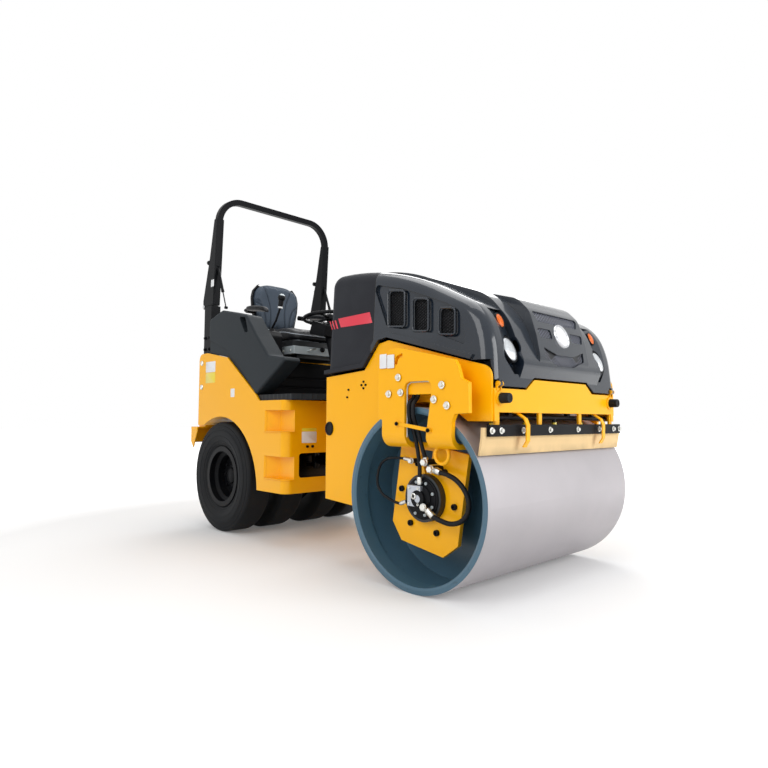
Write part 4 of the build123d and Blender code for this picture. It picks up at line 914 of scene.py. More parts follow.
BACK_SEAMS = [  # (y, z) of the sewn lines on one half of the backrest
    [(0.136, 1.935), (0.112, 1.880), (0.082, 1.800), (0.070, 1.720), (0.072, 1.640),
     (0.078, 1.575)],
    [(0.212, 1.800), (0.158, 1.765), (0.128, 1.700), (0.118, 1.640), (0.120, 1.585)],
]
BACK_FRONT, BACK_FOOT = -1.180, 1.548           # front face and lower edge of the backrest
CHAIR_AHEAD = -0.9              # a place ahead of the backrest


class ROLLER_OT_chair(bpy.types.Operator):
    """Padded cushion, backrest and armrests with their seams, piping, shell, stays and slide"""

    bl_idname = "roller.chair"
    bl_label = "Chair"

    def execute(self, context):
        sizes = context.scene.roller_sizes
        self.cushion(sizes)
        self.backrest(sizes)
        self.shell()
        self.armrests(sizes)
        self.slide()
        return {"FINISHED"}

    def padded(self, name, mesh, slot, node, fill):
        """The padded piece that stands for a CAD node."""
        pad = owned(name, mesh, "rear_frame", slot)
        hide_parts(node)

    def cushion(self, sizes, square=0.30, panel_y=0.125, panel_wide=0.007):
        """The top falls forwards and is crowned; the underside is flat on its pan."""
        low, high = box("seat_cushion")
        middle, half = (low + high) / 2, (high - low) / 2 - (0.010, 0.010, 0.0)
        stations = [low[0], low[0] + 0.35, high[0] - 0.06, high[0]]
        points, rise = pad_grid(middle, half, 0.42, square)
        across = (points[..., 1] - middle[1]) / half[1]
        along = (points[..., 0] - middle[0]) / half[0]
        top = high[2] - np.interp(points[..., 0], stations, [0.016, 0.020, 0.062, 0.080])
        top += 0.006 * (1 - across ** 2) * (1 - along ** 2) - 0.010 * np.abs(across) ** 3
        foot = low[2] + 0.006
        points[..., 2] = foot + (rise + 1) / 2 * (top - foot)
        mesh = filled("seat_cushion_pad", points, sizes.swell * 0.6)
        place = vertices(mesh)
        place[:, 2] = np.maximum(place[:, 2], low[2] + 0.001)
        groove = np.exp(-((np.abs(place[:, 1]) - panel_y) / panel_wide) ** 2)
        groove *= place[:, 2] > middle[2] + 0.01
        groove *= np.interp(place[:, 0], [low[0] + 0.05, low[0] + 0.08, high[0] - 0.10,
                                          high[0] - 0.06], [0, 1, 1, 0])
        place[:, 2] -= groove * sizes.seam_depth
        mesh.vertices.foreach_set("co", place.ravel())
        self.padded("seat_cushion_pad", mesh, "seat_black", "seat_cushion", 0.8)
        turn = circle(96)
        for name, level, radius in (("upper", 0.80, sizes.piping),
                                    ("lower", 0.10, sizes.piping * 0.8)):
            x = middle[0] + half[0] * 0.97 * bulge(np.cos(turn), square)
            y = middle[1] + half[1] * 0.97 * bulge(np.sin(turn), square)
            z = low[2] + level * np.interp(x, stations, [0.112, 0.108, 0.066, 0.052])
            ring = np.stack([x, y, z], -1)
            inward = unit((middle - ring) * (1, 1, 0))
            met = hits(mesh, ring - inward * 0.1, inward)
            ring = [old if new is None else new for old, new in zip(ring, met)]
            make(f"seat_piping_{name}", tube(ring, radius, UP, 8, closed=True),
                 "rear_frame", "seat_black", "piping")

    def back_middle(self):
        """Middle of the backrest's padding."""
        low, high = box("seat_back")
        return np.array([(low[0] + BACK_FRONT) / 2 + 0.006, 0.0, (BACK_FOOT + high[2]) / 2])

    def backrest(self, sizes, seam_wide=0.008, thread_r=0.0016):
        """Waisted pad, hollow across with a fuller lower back, and its sewn lines."""
        low, high = box("seat_back")
        middle = self.back_middle()
        half = np.array([(BACK_FRONT - low[0]) / 2 - 0.014, 1.0,
                         (high[2] - BACK_FOOT) / 2 - 0.010])
        points, _ = pad_grid(middle, half, 0.40, 0.42)
        z = points[..., 2]
        wide = np.interp(z, [1.55, 1.60, 1.68, 1.76, 1.84, 1.90, 1.94, 1.975],
                         [0.176, 0.190, 0.204, 0.220, 0.226, 0.214, 0.190, 0.140])
        points[..., 1] *= wide
        hollow = 1 - (points[..., 1] / wide) ** 2
        ahead = np.clip((points[..., 0] - middle[0]) / half[0], 0, 1)
        lumbar = np.exp(-((z - 1.66) / 0.09) ** 2)
        points[..., 0] -= ahead * hollow * (0.020 - 0.012 * lumbar)
        mesh = filled("seat_back_pad", points, sizes.swell * 0.5)
        place = vertices(mesh)
        fore = np.clip((place[:, 0] - middle[0] - 0.012) / 0.02, 0, 1)
        seams = [eased(seam) * (side, 1) for seam in BACK_SEAMS for side in (-1, 1)]
        for seam in seams:
            gap = distance_to(place[:, 1:], seam)
            place[:, 0] -= fore * sizes.seam_depth * np.exp(-(gap / seam_wide) ** 2)
        mesh.vertices.foreach_set("co", place.ravel())
        self.padded("seat_back_pad", mesh, "seat_blue_grey", "seat_back", 0.7)
        threads = []
        for seam in seams:
            starts = np.column_stack([np.full(len(seam), CHAIR_AHEAD), seam])
            line = np.array([hit for hit in hits(mesh, starts, BACK) if hit is not None])
            threads.append(tube(line, thread_r, AHEAD, 6))
        make("seat_back_seams", joined(*threads), "rear_frame", "seat_black")

    def shell(self):
        """The rear half of the backrest's outline, a little larger, as a thin curved plate, and
        the stem and hinge plates that carry it."""
        turn = np.linspace(math.pi * 0.5, math.pi * 1.5, 33)[None]
        level = np.linspace(1.575, 1.950, 22)[:, None]
        reach = np.interp(level, [1.575, 1.60, 1.68, 1.76, 1.84, 1.90, 1.95],
                          [0.180, 0.192, 0.208, 0.224, 0.230, 0.216, 0.170])
        outer = np.stack(np.broadcast_arrays(
            self.back_middle()[0] + 0.060 * bulge(np.cos(turn), 0.5),
            reach * bulge(np.sin(turn), 0.5), level), -1)
        outer[..., 0] = np.maximum(outer[..., 0], box("seat_back")[0][0] + 0.001)
        inner = outer * (1, 0.97, 1) + (0.005, 0, 0)
        make("seat_back_shell", grid(np.concatenate([outer, inner[:, ::-1]], 1)), "rear_frame",
             "black_plastic")
        bar = np.column_stack([rounded(0.045, 0.012, 0.005), np.zeros(20)])
        stem = grid(np.stack([bar + (x, -0.10, z) for x, z in
                              ((-1.222, 1.43), (-1.234, 1.50), (-1.240, 1.62))]))
        make("seat_stem", both(stem), "rear_frame", "dark_paint", "black_paint")
        x, z = SEAT_PIVOT
        plate = lathe([(0, 0.030), (0.010, 0.030), (0.012, 0.026)], 28)
        pair("recliner_plates", plate, [(x, -0.206, z)], "rear_frame", "black_plastic")
        pair("recliner_caps", dome(0.009, 0.004), [(x, -0.217, z)], "rear_frame",
             "bright_steel", "zinc")

    def armrests(self, sizes, half=0.150, y=-0.300, ribs=9):
        """Pads that arch a little and fall at the front, on ribbed stays."""
        start, end = np.array([-1.176, y, 1.722]), np.array([-0.886, y, 1.678])
        points, _ = pad_grid(np.zeros(3), np.array([half, 0.026, 0.021]), 0.55, 0.45, 20, 56)
        share = (points[..., 0] + half) / (2 * half)
        points = points * (0, 1, 1) + start + share[..., None] * (end - start)
        points[..., 2] += 0.006 * np.sin(share * math.pi)
        points[..., 2] -= 0.016 * np.clip((share - 0.88) / 0.12, 0, 1) ** 2
        mesh = filled("armrest_pads", points, sizes.swell * 0.25, 0.005, copy=both)
        self.padded("armrest_pads", mesh, "seat_black", "armrests", 0.9)
        rise = np.linspace(0, 0.070, 37)
        bellows = np.stack([rise, 0.017 + 0.003 * np.cos(rise / rise[-1] * 2 * math.pi * ribs)],
                           -1)
        stay = placed(lathe(bellows, 20), [(SEAT_PIVOT[0], -0.222, 1.712)], RIGHT)
        link = tube([(SEAT_PIVOT[0], y + 0.014, 1.712), (SEAT_PIVOT[0], y, 1.712),
                     (-1.190, y, 1.714), (-1.165, y, 1.716)], [0.012, 0.014, 0.014, 0.012], UP)
        make("armrest_stays", both(stay, link), "rear_frame", "black_plastic")

    def slide(self):
        """Knob, lever and studs of the chair's slide."""
        low, high = box("seat_slide")
        front = high[0] + 0.004
        knob = placed(dome(0.019, 0.008, foot=0.012), [(high[0] - 0.022, 0.011, 1.366)], AHEAD)
        make("slide_knob", knob, "rear_frame", "black_plastic")
        lever = tube([(high[0] - 0.001, -0.120, 1.350), (front, -0.110, 1.356),
                      (front, -0.090, 1.362), (front, -0.060, 1.366)], 0.0055, AHEAD)
        make("slide_lever", lever, "rear_frame", "bright_steel", "zinc")
        studs = [(x, low[1] + 0.0002, 1.345) for x in (-0.736, -0.646, -1.00)]
        pair("slide_studs", dome(0.008, 0.005, foot=0.003), studs, "rear_frame",
             "bright_steel", "zinc")


class ROLLER_OT_lamps(bpy.types.Operator):
    """Headlamp lenses in their oval pods, and the indicators' domes and rims"""

    bl_idname = "roller.lamps"
    bl_label = "Lamps"

    def execute(self, context):
        lean = math.radians(22)
        normal = np.array([math.cos(lean), 0.0, math.sin(lean)])
        head, side = np.array([1.414, -0.441, 1.170]), np.array([1.367, -0.451, 1.311])
        oval, small = (0.060, 0.045, 1.0), (0.036, 0.0255, 1.0)
        pod = lathe([(-0.050, 0.93), (-0.008, 1.10), (0.001, 1.15), (0.005, 1.13),
                     (0.006, 1.06), (0.002, 0.98), (-0.002, 0.90)], 48)
        turn = circle(48)
        ring = np.stack([np.cos(turn), np.sin(turn), 0 * turn], -1)
        rim = (ring * (0.0385, 0.0275, 1))[:, None] + self.section(ring, 0.0035, 0.005)
        for name, shape, at, finish in (
                ("headlamp_lenses", stretched(dome(1.0, 0.013, 48, 10, foot=0.002), *oval),
                 head, "clear_lens"),
                ("headlamp_bezels", stretched(pod, *oval), head, "black_plastic"),
                ("indicator_lenses", stretched(dome(1.0, 0.011, 40, 8, foot=0.001), *small),
                 side, "amber_lens"),
                ("indicator_rims", grid(rim, along=True), side + 0.001 * normal,
                 "black_plastic")):
            pair(name, shape, [at], "hood", "lamp_glass", finish, normal, LEFT)
        return {"FINISHED"}

    def section(self, ring, wide, tall):
        """Small ellipse carried round a circle: out by cos b along the radius, up by sin b."""
        turn = circle(10)[:, None]
        return ring[:, None] * wide * np.cos(turn) + (0, 0, 1) * np.sin(turn) * tall


INTAKES = [  # (x, z) corners of the openings in a side wall of the hood
    [(0.746, 1.530), (0.873, 1.511), (0.884, 1.318), (0.759, 1.331)],
    [(0.932, 1.460), (1.041, 1.445), (1.049, 1.277), (0.942, 1.288)],
    [(1.113, 1.387), (1.215, 1.374), (1.221, 1.243), (1.119, 1.254)],
]
GRILLES = [  # (y, z) corners of the openings round the badge
    [(-0.225, 1.386), (0.225, 1.386), (0.190, 1.332), (-0.190, 1.332)],
    [(-0.228, 1.297), (-0.096, 1.297), (-0.096, 1.248), (-0.206, 1.248)],
    [(0.206, 1.248), (0.096, 1.248), (0.096, 1.297), (0.228, 1.297)],
    [(-0.190, 1.198), (-0.080, 1.168), (-0.080, 1.112), (-0.185, 1.150)],
    [(0.185, 1.150), (0.080, 1.112), (0.080, 1.168), (0.190, 1.198)],
    [(-0.080, 1.168), (0.080, 1.168), (0.080, 1.112), (-0.080, 1.112)],
]
WIRE_HALF, SHORTEST_WIRE = 0.0014, 0.004
NOSE_X, HOOD_AHEAD = 1.425, 1.6                 # front of the grilles, and a place ahead of it


def wires(corners, pitch, lean=32.0):
    """Ends of the crossed wires inside a convex outline: lines of two slopes, a pitch apart,
    each cut off where it leaves the outline."""
    corners = np.array(corners, float)
    edge = np.roll(corners, -1, 0) - corners
    turn = np.sign(edge[0, 0] * edge[1, 1] - edge[0, 1] * edge[1, 0])
    inward = np.stack([-edge[:, 1], edge[:, 0]], -1) * turn
    ends = []
    for slope in (math.radians(lean), math.radians(-lean)):
        way = np.array([math.cos(slope), math.sin(slope)])
        across = np.array([-way[1], way[0]])
        reach = corners @ across
        start = np.arange(reach.min() + pitch / 2, reach.max(), pitch)[:, None] * across
        speed = inward @ way
        share = ((corners[None] - start[:, None]) * inward).sum(-1) / speed
        low = np.where(speed > 0, share, -np.inf).max(1)[:, None]
        high = np.where(speed < 0, share, np.inf).min(1)[:, None]
        line = np.stack([start + low * way, start + high * way], 1)
        ends.append(line[(high - low)[:, 0] > SHORTEST_WIRE])
    return np.concatenate(ends)


def rods(ends, normal, half=WIRE_HALF):
    """Square rods between pairs of points (n, 2, 3), each corner being half to either side."""
    way = unit(ends[:, 1] - ends[:, 0])
    side = unit(np.cross(normal, way))
    up = np.cross(way, side)
    ring = np.array([(-1, -1), (1, -1), (1, 1), (-1, 1)], float) * half
    offset = ring[:, :1, None] * side + ring[:, 1:, None] * up
    points = ends[:, :, None] + np.swapaxes(offset, 0, 1)[:, None]
    base = (np.arange(len(ends)) * 8)[:, None, None]
    faces = np.array([(0, 1, 2, 3), (4, 7, 6, 5), (0, 4, 5, 1), (1, 5, 6, 2), (2, 6, 7, 3),
                      (3, 7, 4, 0)])
    return points.reshape(-1, 3), [(faces[None] + base).reshape(-1, 4)]


def on_wall(x, z, depth=0.0):
    """Points on the hood's right-hand side wall, or at a depth inside it."""
    y = (z - HOOD_WALL_Z) * HOOD_WALL_SLOPE - HOOD_WALL_Y
    return np.stack([x, y + depth, z], -1)


def rounded_corners(corners, radius, steps=8):
    """Corners cut back by radius and joined by the curve (1-t)^2 a + 2 t (1-t) b + t^2 c."""
    corners = np.array(corners, float)
    a, c = [(corners + radius * unit(np.roll(corners, step, 0) - corners))[:, None]
            for step in (1, -1)]
    t = np.linspace(0, 1, steps)[None, :, None]
    return ((1 - t) ** 2 * a + 2 * t * (1 - t) * corners[:, None] + t ** 2 * c).reshape(-1, 2)


class ROLLER_OT_hood_meshes(bpy.types.Operator):
    """Wire meshes in the hood's intakes and grilles, and the intakes' rims"""

    bl_idname = "roller.hood_meshes"
    bl_label = "Hood meshes"

    def execute(self, context):
        pitch = context.scene.roller_sizes.mesh_pitch
        depth, corner, rim_r = 0.0215, 0.022, 0.0065
        sides, rims, front = [], [], []
        for corners in INTAKES:
            x, z = np.moveaxis(wires(corners, pitch), -1, 0)
            sides.append(rods(on_wall(x, z, depth), RIGHT))
            rim = on_wall(*rounded_corners(corners, corner).T, 0.001)
            rims.append(tube(rim, rim_r, LEFT, 10, closed=True))
        make("intake_meshes", both(*sides), "hood", "black_plastic", angle=20)
        make("intake_rims", both(*rims), "hood", "hood_plastic")
        grille = frame["nodes"]["hood_grilles"].data
        for corners in GRILLES:
            ends = wires(corners, pitch).reshape(-1, 2)
            start = np.column_stack([np.full(len(ends), HOOD_AHEAD), ends])
            start[:, 0] = [NOSE_X if hit is None else hit[0] + 0.002
                           for hit in hits(grille, start, BACK)]
            front.append(rods(start.reshape(-1, 2, 3), AHEAD))
        # the grille's wires are black plastic, drawn lighter grey as painted sheen
        make("grille_meshes", joined(*front), "hood", "black_plastic", "mesh_grey", angle=20)
        return {"FINISHED"}


class ROLLER_OT_hood_marks(bpy.types.Operator):
    """Blank badge, and the blank plate with its three stripes"""

    bl_idname = "roller.hood_marks"
    bl_label = "Badge and stripes"

    def execute(self, context):
        hood = tree_of(frame["nodes"]["hood"].data)
        place, normal, _, _ = hood.ray_cast((HOOD_AHEAD, 0.0, 1.273), BACK)
        if place is None:
            raise RuntimeError("the hood's nose isn't where the badge goes")
        ring = lathe([(-0.010, 0.066), (0.004, 0.066), (0.008, 0.0635), (0.008, 0.0585),
                      (0.004, 0.056), (-0.010, 0.056)], 56)
        make("badge_ring", placed(ring, [place], normal, LEFT), "hood", "bright_steel")
        disc = lathe([(-0.008, 0.057), (0.001, 0.057), (0.0035, 0.045), (0.0045, 0.020),
                      (0.0047, 0.001)], 56)
        make("badge_blank", placed(disc, [place], normal, LEFT), "hood", "bright_steel",
             "white_film")
        plate = self.wall_film([(0.335, 1.425), (0.608, 1.430), (0.633, 1.367), (0.364, 1.370)])
        make("model_plate_blank", plate, "hood", "hood_plastic", "red_film")
        lean = 0.026
        stripes = [self.wall_film([(x, 1.418), (x + wide, 1.418), (x + wide + lean, 1.366),
                                   (x + lean, 1.366)])
                   for x, wide in ((0.256, 0.006), (0.278, 0.009), (0.303, 0.012))]
        make("hood_stripes", joined(*stripes), "hood", "hood_plastic", "red_film")
        return {"FINISHED"}

    def wall_film(self, corners):
        """Film on the right-hand side wall over (x, z) corners."""
        normal = unit(np.array([0.0, -1.0, -HOOD_WALL_SLOPE]))
        return film(on_wall(*np.array(corners).T), normal,
                    bpy.context.scene.roller_sizes.film)


class ROLLER_OT_wheels(bpy.types.Operator):
    """Ribs on the tyres' sidewalls, wheel nuts and hub caps"""

    bl_idname = "roller.wheels"
    bl_label = "Wheels"

    def execute(self, context):
        tyre_y = 0.484          # middle plane of the outer tyre
        cap_y, disc_y, nuts_r = 0.470, 0.456, 0.125
        ribs = []
        for radius in (0.246, 0.262, 0.300, 0.341, 0.349, 0.374):
            out = self.sidewall(radius)
            ribs.append(lathe([(out - 0.004, radius - 0.0035), (out + 0.0012, radius - 0.0018),
                               (out + 0.0018, radius), (out + 0.0012, radius + 0.0018),
                               (out - 0.004, radius + 0.0035)], 96, along=True))
        cap = lathe([(-0.016, 0.080), (0.004, 0.080), (0.008, 0.076), (0.010, 0.062),
                     (0.024, 0.056), (0.030, 0.046), (0.032, 0.001)], 40)
        turn = circle(10)
        for side, name in ((-1, "right"), (1, "left")):
            low, high = box(f"tyres_{name}")
            axle = (low + high) / 2 * (1, 0, 1)
            nuts = axle + np.stack([nuts_r * np.cos(turn), side * disc_y + 0 * turn,
                                    nuts_r * np.sin(turn)], -1)
            for piece, shape, at, slot in (
                    ("tyre_ribs", joined(*ribs), axle + (0, side * tyre_y, 0), "tyre_rubber"),
                    ("wheel_nuts", hexagon_bolt(0.0125, 1.3, 1.2), nuts, "black_paint"),
                    ("hub_cap", cap, axle + (0, side * cap_y, 0), "black_paint")):
                make(f"{piece}_{name}", placed(shape, at, (0, side, 0)),
                     f"rear_wheels_{name}", slot)
        return {"FINISHED"}

    def sidewall(self, radius, arc=0.158, middle=0.3201, inside=0.0519):
        """How far the sidewall stands out of the outer tyre's middle plane: the square root of
        the arc's radius squared less the height over its centre squared, with that centre a
        little inside the plane."""
        return math.sqrt(arc ** 2 - (radius - middle) ** 2) - inside


class ROLLER_OT_drum_ends(bpy.types.Operator):
    """Motor covers, ports, hose ends and the bolts of the plates that carry the drum"""

    bl_idname = "roller.drum_ends"
    bl_label = "Drum ends"

    def execute(self, context):
        cover = lathe([(-0.004, 0.104), (0.005, 0.104), (0.007, 0.096), (0.012, 0.094),
                       (0.014, 0.070), (0.022, 0.068), (0.026, 0.044), (0.040, 0.042),
                       (0.043, 0.038), (0.043, 0.020), (0.036, 0.018), (0.036, 0.001)], 48)
        bolts = self.ring(0.177, CARRIER_FACE, np.radians([170, -129, -69, -9, 49, 110]))
        screws = self.ring(0.083, MOTOR_FACE - 0.011, circle(8, math.radians(20)))
        for name, shape, places, finish in (
                ("carrier_bolts", socket_bolt(0.0150), bolts, "black_plastic"),
                ("motor_covers", cover, [DRUM_AXLE + (0, MOTOR_FACE, 0)], "black_plastic"),
                ("motor_screws", socket_bolt(0.0075), screws, "silver_paint")):
            pair(name, shape, places, "front_frame", "dark_paint", finish)
        port = lathe([(-0.001, 0.016), (0.004, 0.016), (0.006, 0.013), (0.006, 0.010),
                      (0.002, 0.008), (0.002, 0.0005)])
        corners = [(x, PORT_FACE, z) for x in (0.956, 1.018) for z in (0.423, 0.501)]
        make("port_block_screws", both(placed(port, [(0.987, PORT_FACE, 0.462)], RIGHT),
                                       placed(socket_bolt(0.0065), corners, RIGHT)),
             "front_frame", "bright_steel", "zinc")
        sleeves = [  # (from, to, radius) of the crimped sleeves on the hoses
            ((0.948, -0.610, 0.634), (0.893, -0.610, 0.6405), 0.0105),
            ((0.872, -0.6165, 0.4105), (0.918, -0.620, 0.427), 0.0105),
            ((1.104, -0.620, 0.596), (1.142, -0.620, 0.5865), 0.0165),
            ((1.064, -0.632, 0.407), (1.104, -0.629, 0.374), 0.0165),
            ((1.012, -0.622, 0.518), (1.012, -0.6235, 0.556), 0.0140),
            ((1.059, -0.638, 0.655), (1.063, -0.6345, 0.640), 0.0145),
        ]
        nuts = [  # (radius, washer, height, places) of the fittings under the hoses' ends
            (0.0135, 1.1, 1.0, [(0.955, -0.622, 0.632)]),
            (0.0180, 1.05, 0.8, [(1.098, -0.637, 0.600), (1.066, -0.646, 0.632)]),
            (0.0180, 1.05, 0.5, [(1.062, -0.650, 0.416)]),
        ]
        make("hose_ends", both(*[self.sleeve(*row) for row in sleeves],
                               *[placed(hexagon_bolt(*row), at, RIGHT) for *row, at in nuts]),
             "front_frame", "bright_steel", "zinc")
        return {"FINISHED"}

    def ring(self, radius, y, turn):
        """Places on a circle round the drum's axle."""
        return DRUM_AXLE + np.stack([radius * np.cos(turn), y + 0 * turn,
                                     radius * np.sin(turn)], -1)

    def sleeve(self, start, end, radius):
        """Turned sleeve with a raised band, from one point to another."""
        way = np.subtract(end, start)
        size = np.linalg.norm(way)
        profile = [(0, 0.8), (0.004, 1.0), (size * 0.30, 1.0), (size * 0.32, 1.12),
                   (size * 0.42, 1.12), (size * 0.44, 1.0), (size - 0.004, 1.0), (size, 0.85)]
        return placed(lathe(np.array(profile) * (1, radius), 20), [start], way, LEFT)


ARM_BOLTS = [(0.950, 1.045), (0.883, 0.965), (0.967, 0.970), (1.231, 0.998), (1.183, 0.932),
             (1.261, 0.903)]
ARM_SLOT = [  # (x, z) along the slot's edge
    (0.990, 0.752), (0.990, 0.900), (0.990, 0.990), (0.996, 1.008), (1.014, 1.019),
    (1.060, 1.020), (1.135, 1.020), (1.152, 1.012), (1.159, 0.994), (1.158, 0.952),
    (1.142, 0.860), (1.126, 0.760),
]


class ROLLER_OT_arms(bpy.types.Operator):
    """Bolts, a pale tube along the slot's edge as a painted highlight, and blank plates on the
    drum's arms
    """

    bl_idname = "roller.arms"
    bl_label = "Drum arms"

    def execute(self, context):
        sizes = context.scene.roller_sizes
        face = -box("drum_arm_left")[1][1]
        bolts = [(x, face, z) for x, z in ARM_BOLTS]
        strap = [(x, face - 0.006, z) for x, z in ((0.944, 0.817), (1.150, 0.788))]
        # painted highlight: a pale silver tube along the slot's cut edge, where the edge catches
        # the light
        edge_highlight = tube([(x, face + 0.0235, z) for x, z in ARM_SLOT], 0.0032, LEFT, 8)
        pair("arm_bolts", hexagon_bolt(sizes.bolt), bolts, "front_frame", "bright_steel",
             "zinc")
        pair("strap_bolts", hexagon_bolt(0.007), strap, "front_frame", "dark_paint",
             "black_paint")
        make("slot_trim", both(edge_highlight), "front_frame", "bright_steel", "silver_paint")
        plates = [side_film(0.842, 1.132, 0.050, 0.073, sizes.film, face),
                  side_film(0.896, 1.128, 0.050, 0.068, sizes.film, face)]
        make("arm_plates_blank", joined(*plates), "front_frame", "yellow_paint", "white_film")
        return {"FINISHED"}


class ROLLER_OT_front_bar(bpy.types.Operator):
    """Bolts of the mat's bar, nozzle caps, and the buffers' faces and washers"""

    bl_idname = "roller.front_bar"
    bl_label = "Front bar"

    def execute(self, context):
        low, high = box("mat_bar")
        bolts = [(high[0], side * y, (low[2] + high[2]) / 2)
                 for y in (0.628, 0.556, 0.380, 0.140) for side in (-1, 1)]
        make("mat_bar_bolts", placed(hexagon_bolt(0.0105), bolts, AHEAD), "front_frame",
             "bright_steel", "zinc")
        cap = lathe([(-0.014, 0.013), (0.004, 0.0135), (0.006, 0.010), (0.008, 0.001)], 10)
        nozzles = [(1.390, step * 0.273, 0.812) for step in range(-2, 3)]
        make("nozzle_caps", placed(cap, nozzles, (0.05, 0, -1), LEFT), "front_frame",
             "black_plastic", "yellow_film")
        face = lathe([(-0.002, 0.0225), (0.003, 0.0215), (0.0035, 0.013), (0.0008, 0.011),
                      (0.0008, 0.0005)], 32)
        washer = lathe([(0, 0.036), (0.004, 0.036), (0.006, 0.034)], 32)
        for name, shape, x, slot in (
                ("buffer_faces", face, box("buffers")[1][0], "black_rubber"),
                ("buffer_washers", washer, 1.434, "yellow_paint")):
            pair(name, shape, [(x, -0.541, 0.938)], "front_frame", slot, axis=AHEAD)
        return {"FINISHED"}


class ROLLER_OT_roll_bar(bpy.types.Operator):
    """Knobs, struts, foot bolts and the blank plate of the roll bar"""

    bl_idname = "roller.roll_bar"
    bl_label = "Roll bar"

    def execute(self, context):
        pin = lathe([(-0.030, 0.008), (0.030, 0.008), (0.032, 0.006)], 16)
        knob = joined(pin, placed(dome(0.019, 0.010, foot=0.022), [(0, 0, 0.030)], UP, LEFT))
        off = (-1, 0, 0.28)     # backwards and a little up
        self.bar("roll_bar_knobs", placed(knob, [(-1.345, -ROLL_BAR_Y, 2.080)], off),
                 placed(dome(0.026, 0.016, foot=0.010), [(-1.349, -ROLL_BAR_Y, 2.012)], off),
                 finish="black_plastic")
        top, foot = np.array([(-1.248, -ROLL_BAR_Y, 2.040), (-1.104, -ROLL_BAR_Y, 1.690)])
        way = unit(foot - top)
        rod = tube([top + way * 0.21, foot - way * 0.01], 0.0045, LEFT, 12)
        body, gland = [tube([top + way * start, top + way * end], radius, LEFT, 16)
                       for start, end, radius in ((0.02, 0.22, 0.011), (0.215, 0.235, 0.0125))]
        eyes = placed(lathe([(-0.010, 0.011), (0.010, 0.011)], 16), [top, foot], LEFT)
        ear = lathe([(0, 0.014), (0.012, 0.014), (0.014, 0.012)], 16)
        self.bar("strut_bodies", body, eyes)
        self.bar("strut_rods", rod, gland)
        self.bar("strut_brackets", placed(ear, [top + (-0.014, 0, 0)], (1, 0, 0.2)))
        face = box("rops_posts")[0][1] + 0.0002
        bolts = [(x, face, z) for x in (-1.350, -1.286) for z in (1.380, 1.470)]
        pair("post_bolts", hexagon_bolt(0.011), bolts, "rear_frame", "black_paint")
        half, lean = 0.022, 0.0577      # the plate's half width and the leg's lean
        outline = [(-1.272 + (z - 1.90) * lean + u, -ROLL_BAR_Y - 0.0308, z)
                   for u, z in ((-half, 1.931), (half, 1.931), (half, 1.875), (-half, 1.875))]
        make("roll_bar_plate_blank", film(outline, RIGHT, context.scene.roller_sizes.film),
             "rops_hoop", "black_paint", "white_film")
        return {"FINISHED"}

    def bar(self, name, *shapes, finish=None):
        """Black piece on both legs of the folding bar."""
        make(name, both(*shapes), "rops_hoop", "black_paint", finish)


class ROLLER_OT_body_plates(bpy.types.Operator):
    """Blank plates, studs, screws and plugs of both frames, and the riser under the chair"""

    bl_idname = "roller.body_plates"
    bl_label = "Plates and plugs"

    def execute(self, context):
        thick = context.scene.roller_sizes.film
        for name, *place in (("side_plate_blank_white", -1.196, 1.232, 0.150, 0.082),
                             ("side_plate_blank_yellow", -1.196, 1.148, 0.150, 0.080),
                             ("small_plate_blank_white", -0.856, 1.023, 0.055, 0.062)):
            make(name, side_film(*place, thick), "rear_frame", "yellow_paint",
                 name.split("_")[-1] + "_film")
        for name, z, height, corner, finish in (
                ("wall_plate_blank", 0.716, 0.074, 0.006, "white_film"),
                ("wall_plate_band", 0.765, 0.022, 0.004, "yellow_film")):
            outline = [(REAR_FRAME_FRONT, -0.410 + u, z + v)
                       for u, v in rounded(0.120, height, corner)]
            make(name, film(outline, AHEAD, thick), "rear_frame", "yellow_paint", finish)
        studs = [(REAR_FRAME_FRONT, y, 0.655) for y in (-0.426, -0.384)]
        make("wall_studs", placed(socket_bolt(0.009), studs, AHEAD), "rear_frame",
             "dark_paint", "black_paint")
        places = [(-1.330, FRAME_SIDE, 1.268), (-1.328, FRAME_SIDE, 1.080)]
        pair("side_studs", dome(0.020, 0.010, foot=0.004), places, "rear_frame",
             "bright_steel", "zinc")
        make("seat_riser_cover", self.riser(), "rear_frame", "black_plastic")
        plug = lathe([(-0.002, 1.0), (0.006, 1.0), (0.010, 0.93), (0.011, 0.80),
                      (0.004, 0.70), (0.003, 0.02)], 40)
        pair("frame_plug", stretched(plug, 0.034, 0.040, 1.0), [(0.273, FRAME_SIDE, 0.782)],
             "front_frame", "black_rubber")
        screws = [(x, FRAME_SIDE, z) for x, z in
                  ((0.431, 0.962), (0.442, 1.004), (0.569, 1.045), (0.569, 1.009),
                   (0.552, 1.027), (0.586, 1.027))]
        pair("frame_screws", socket_bolt(0.006), screws, "front_frame", "dark_paint",
             "black_paint")
        return {"FINISHED"}

    def riser(self, x=-0.8695, head=1.284):
        """Cover with two grooves: its edge drawn in, then levels that stand out of the wall."""
        side = box("fender_left")[0][1] - 0.004
        foot = box("platform_floor")[1][2] + 0.004
        rows = [(foot, 0.004), (foot + 0.004, 0.010), (1.075, 0.010), (1.080, 0.005),
                (1.088, 0.005), (1.093, 0.010), (1.150, 0.010), (1.155, 0.005), (1.163, 0.005),
                (1.168, 0.010), (head - 0.004, 0.010), (head, 0.004)]
        return grid(np.array([[(x, -side, z), (x + out, 0.006 - side, z),
                               (x + out, side - 0.006, z), (x, side, z)] for z, out in rows]))


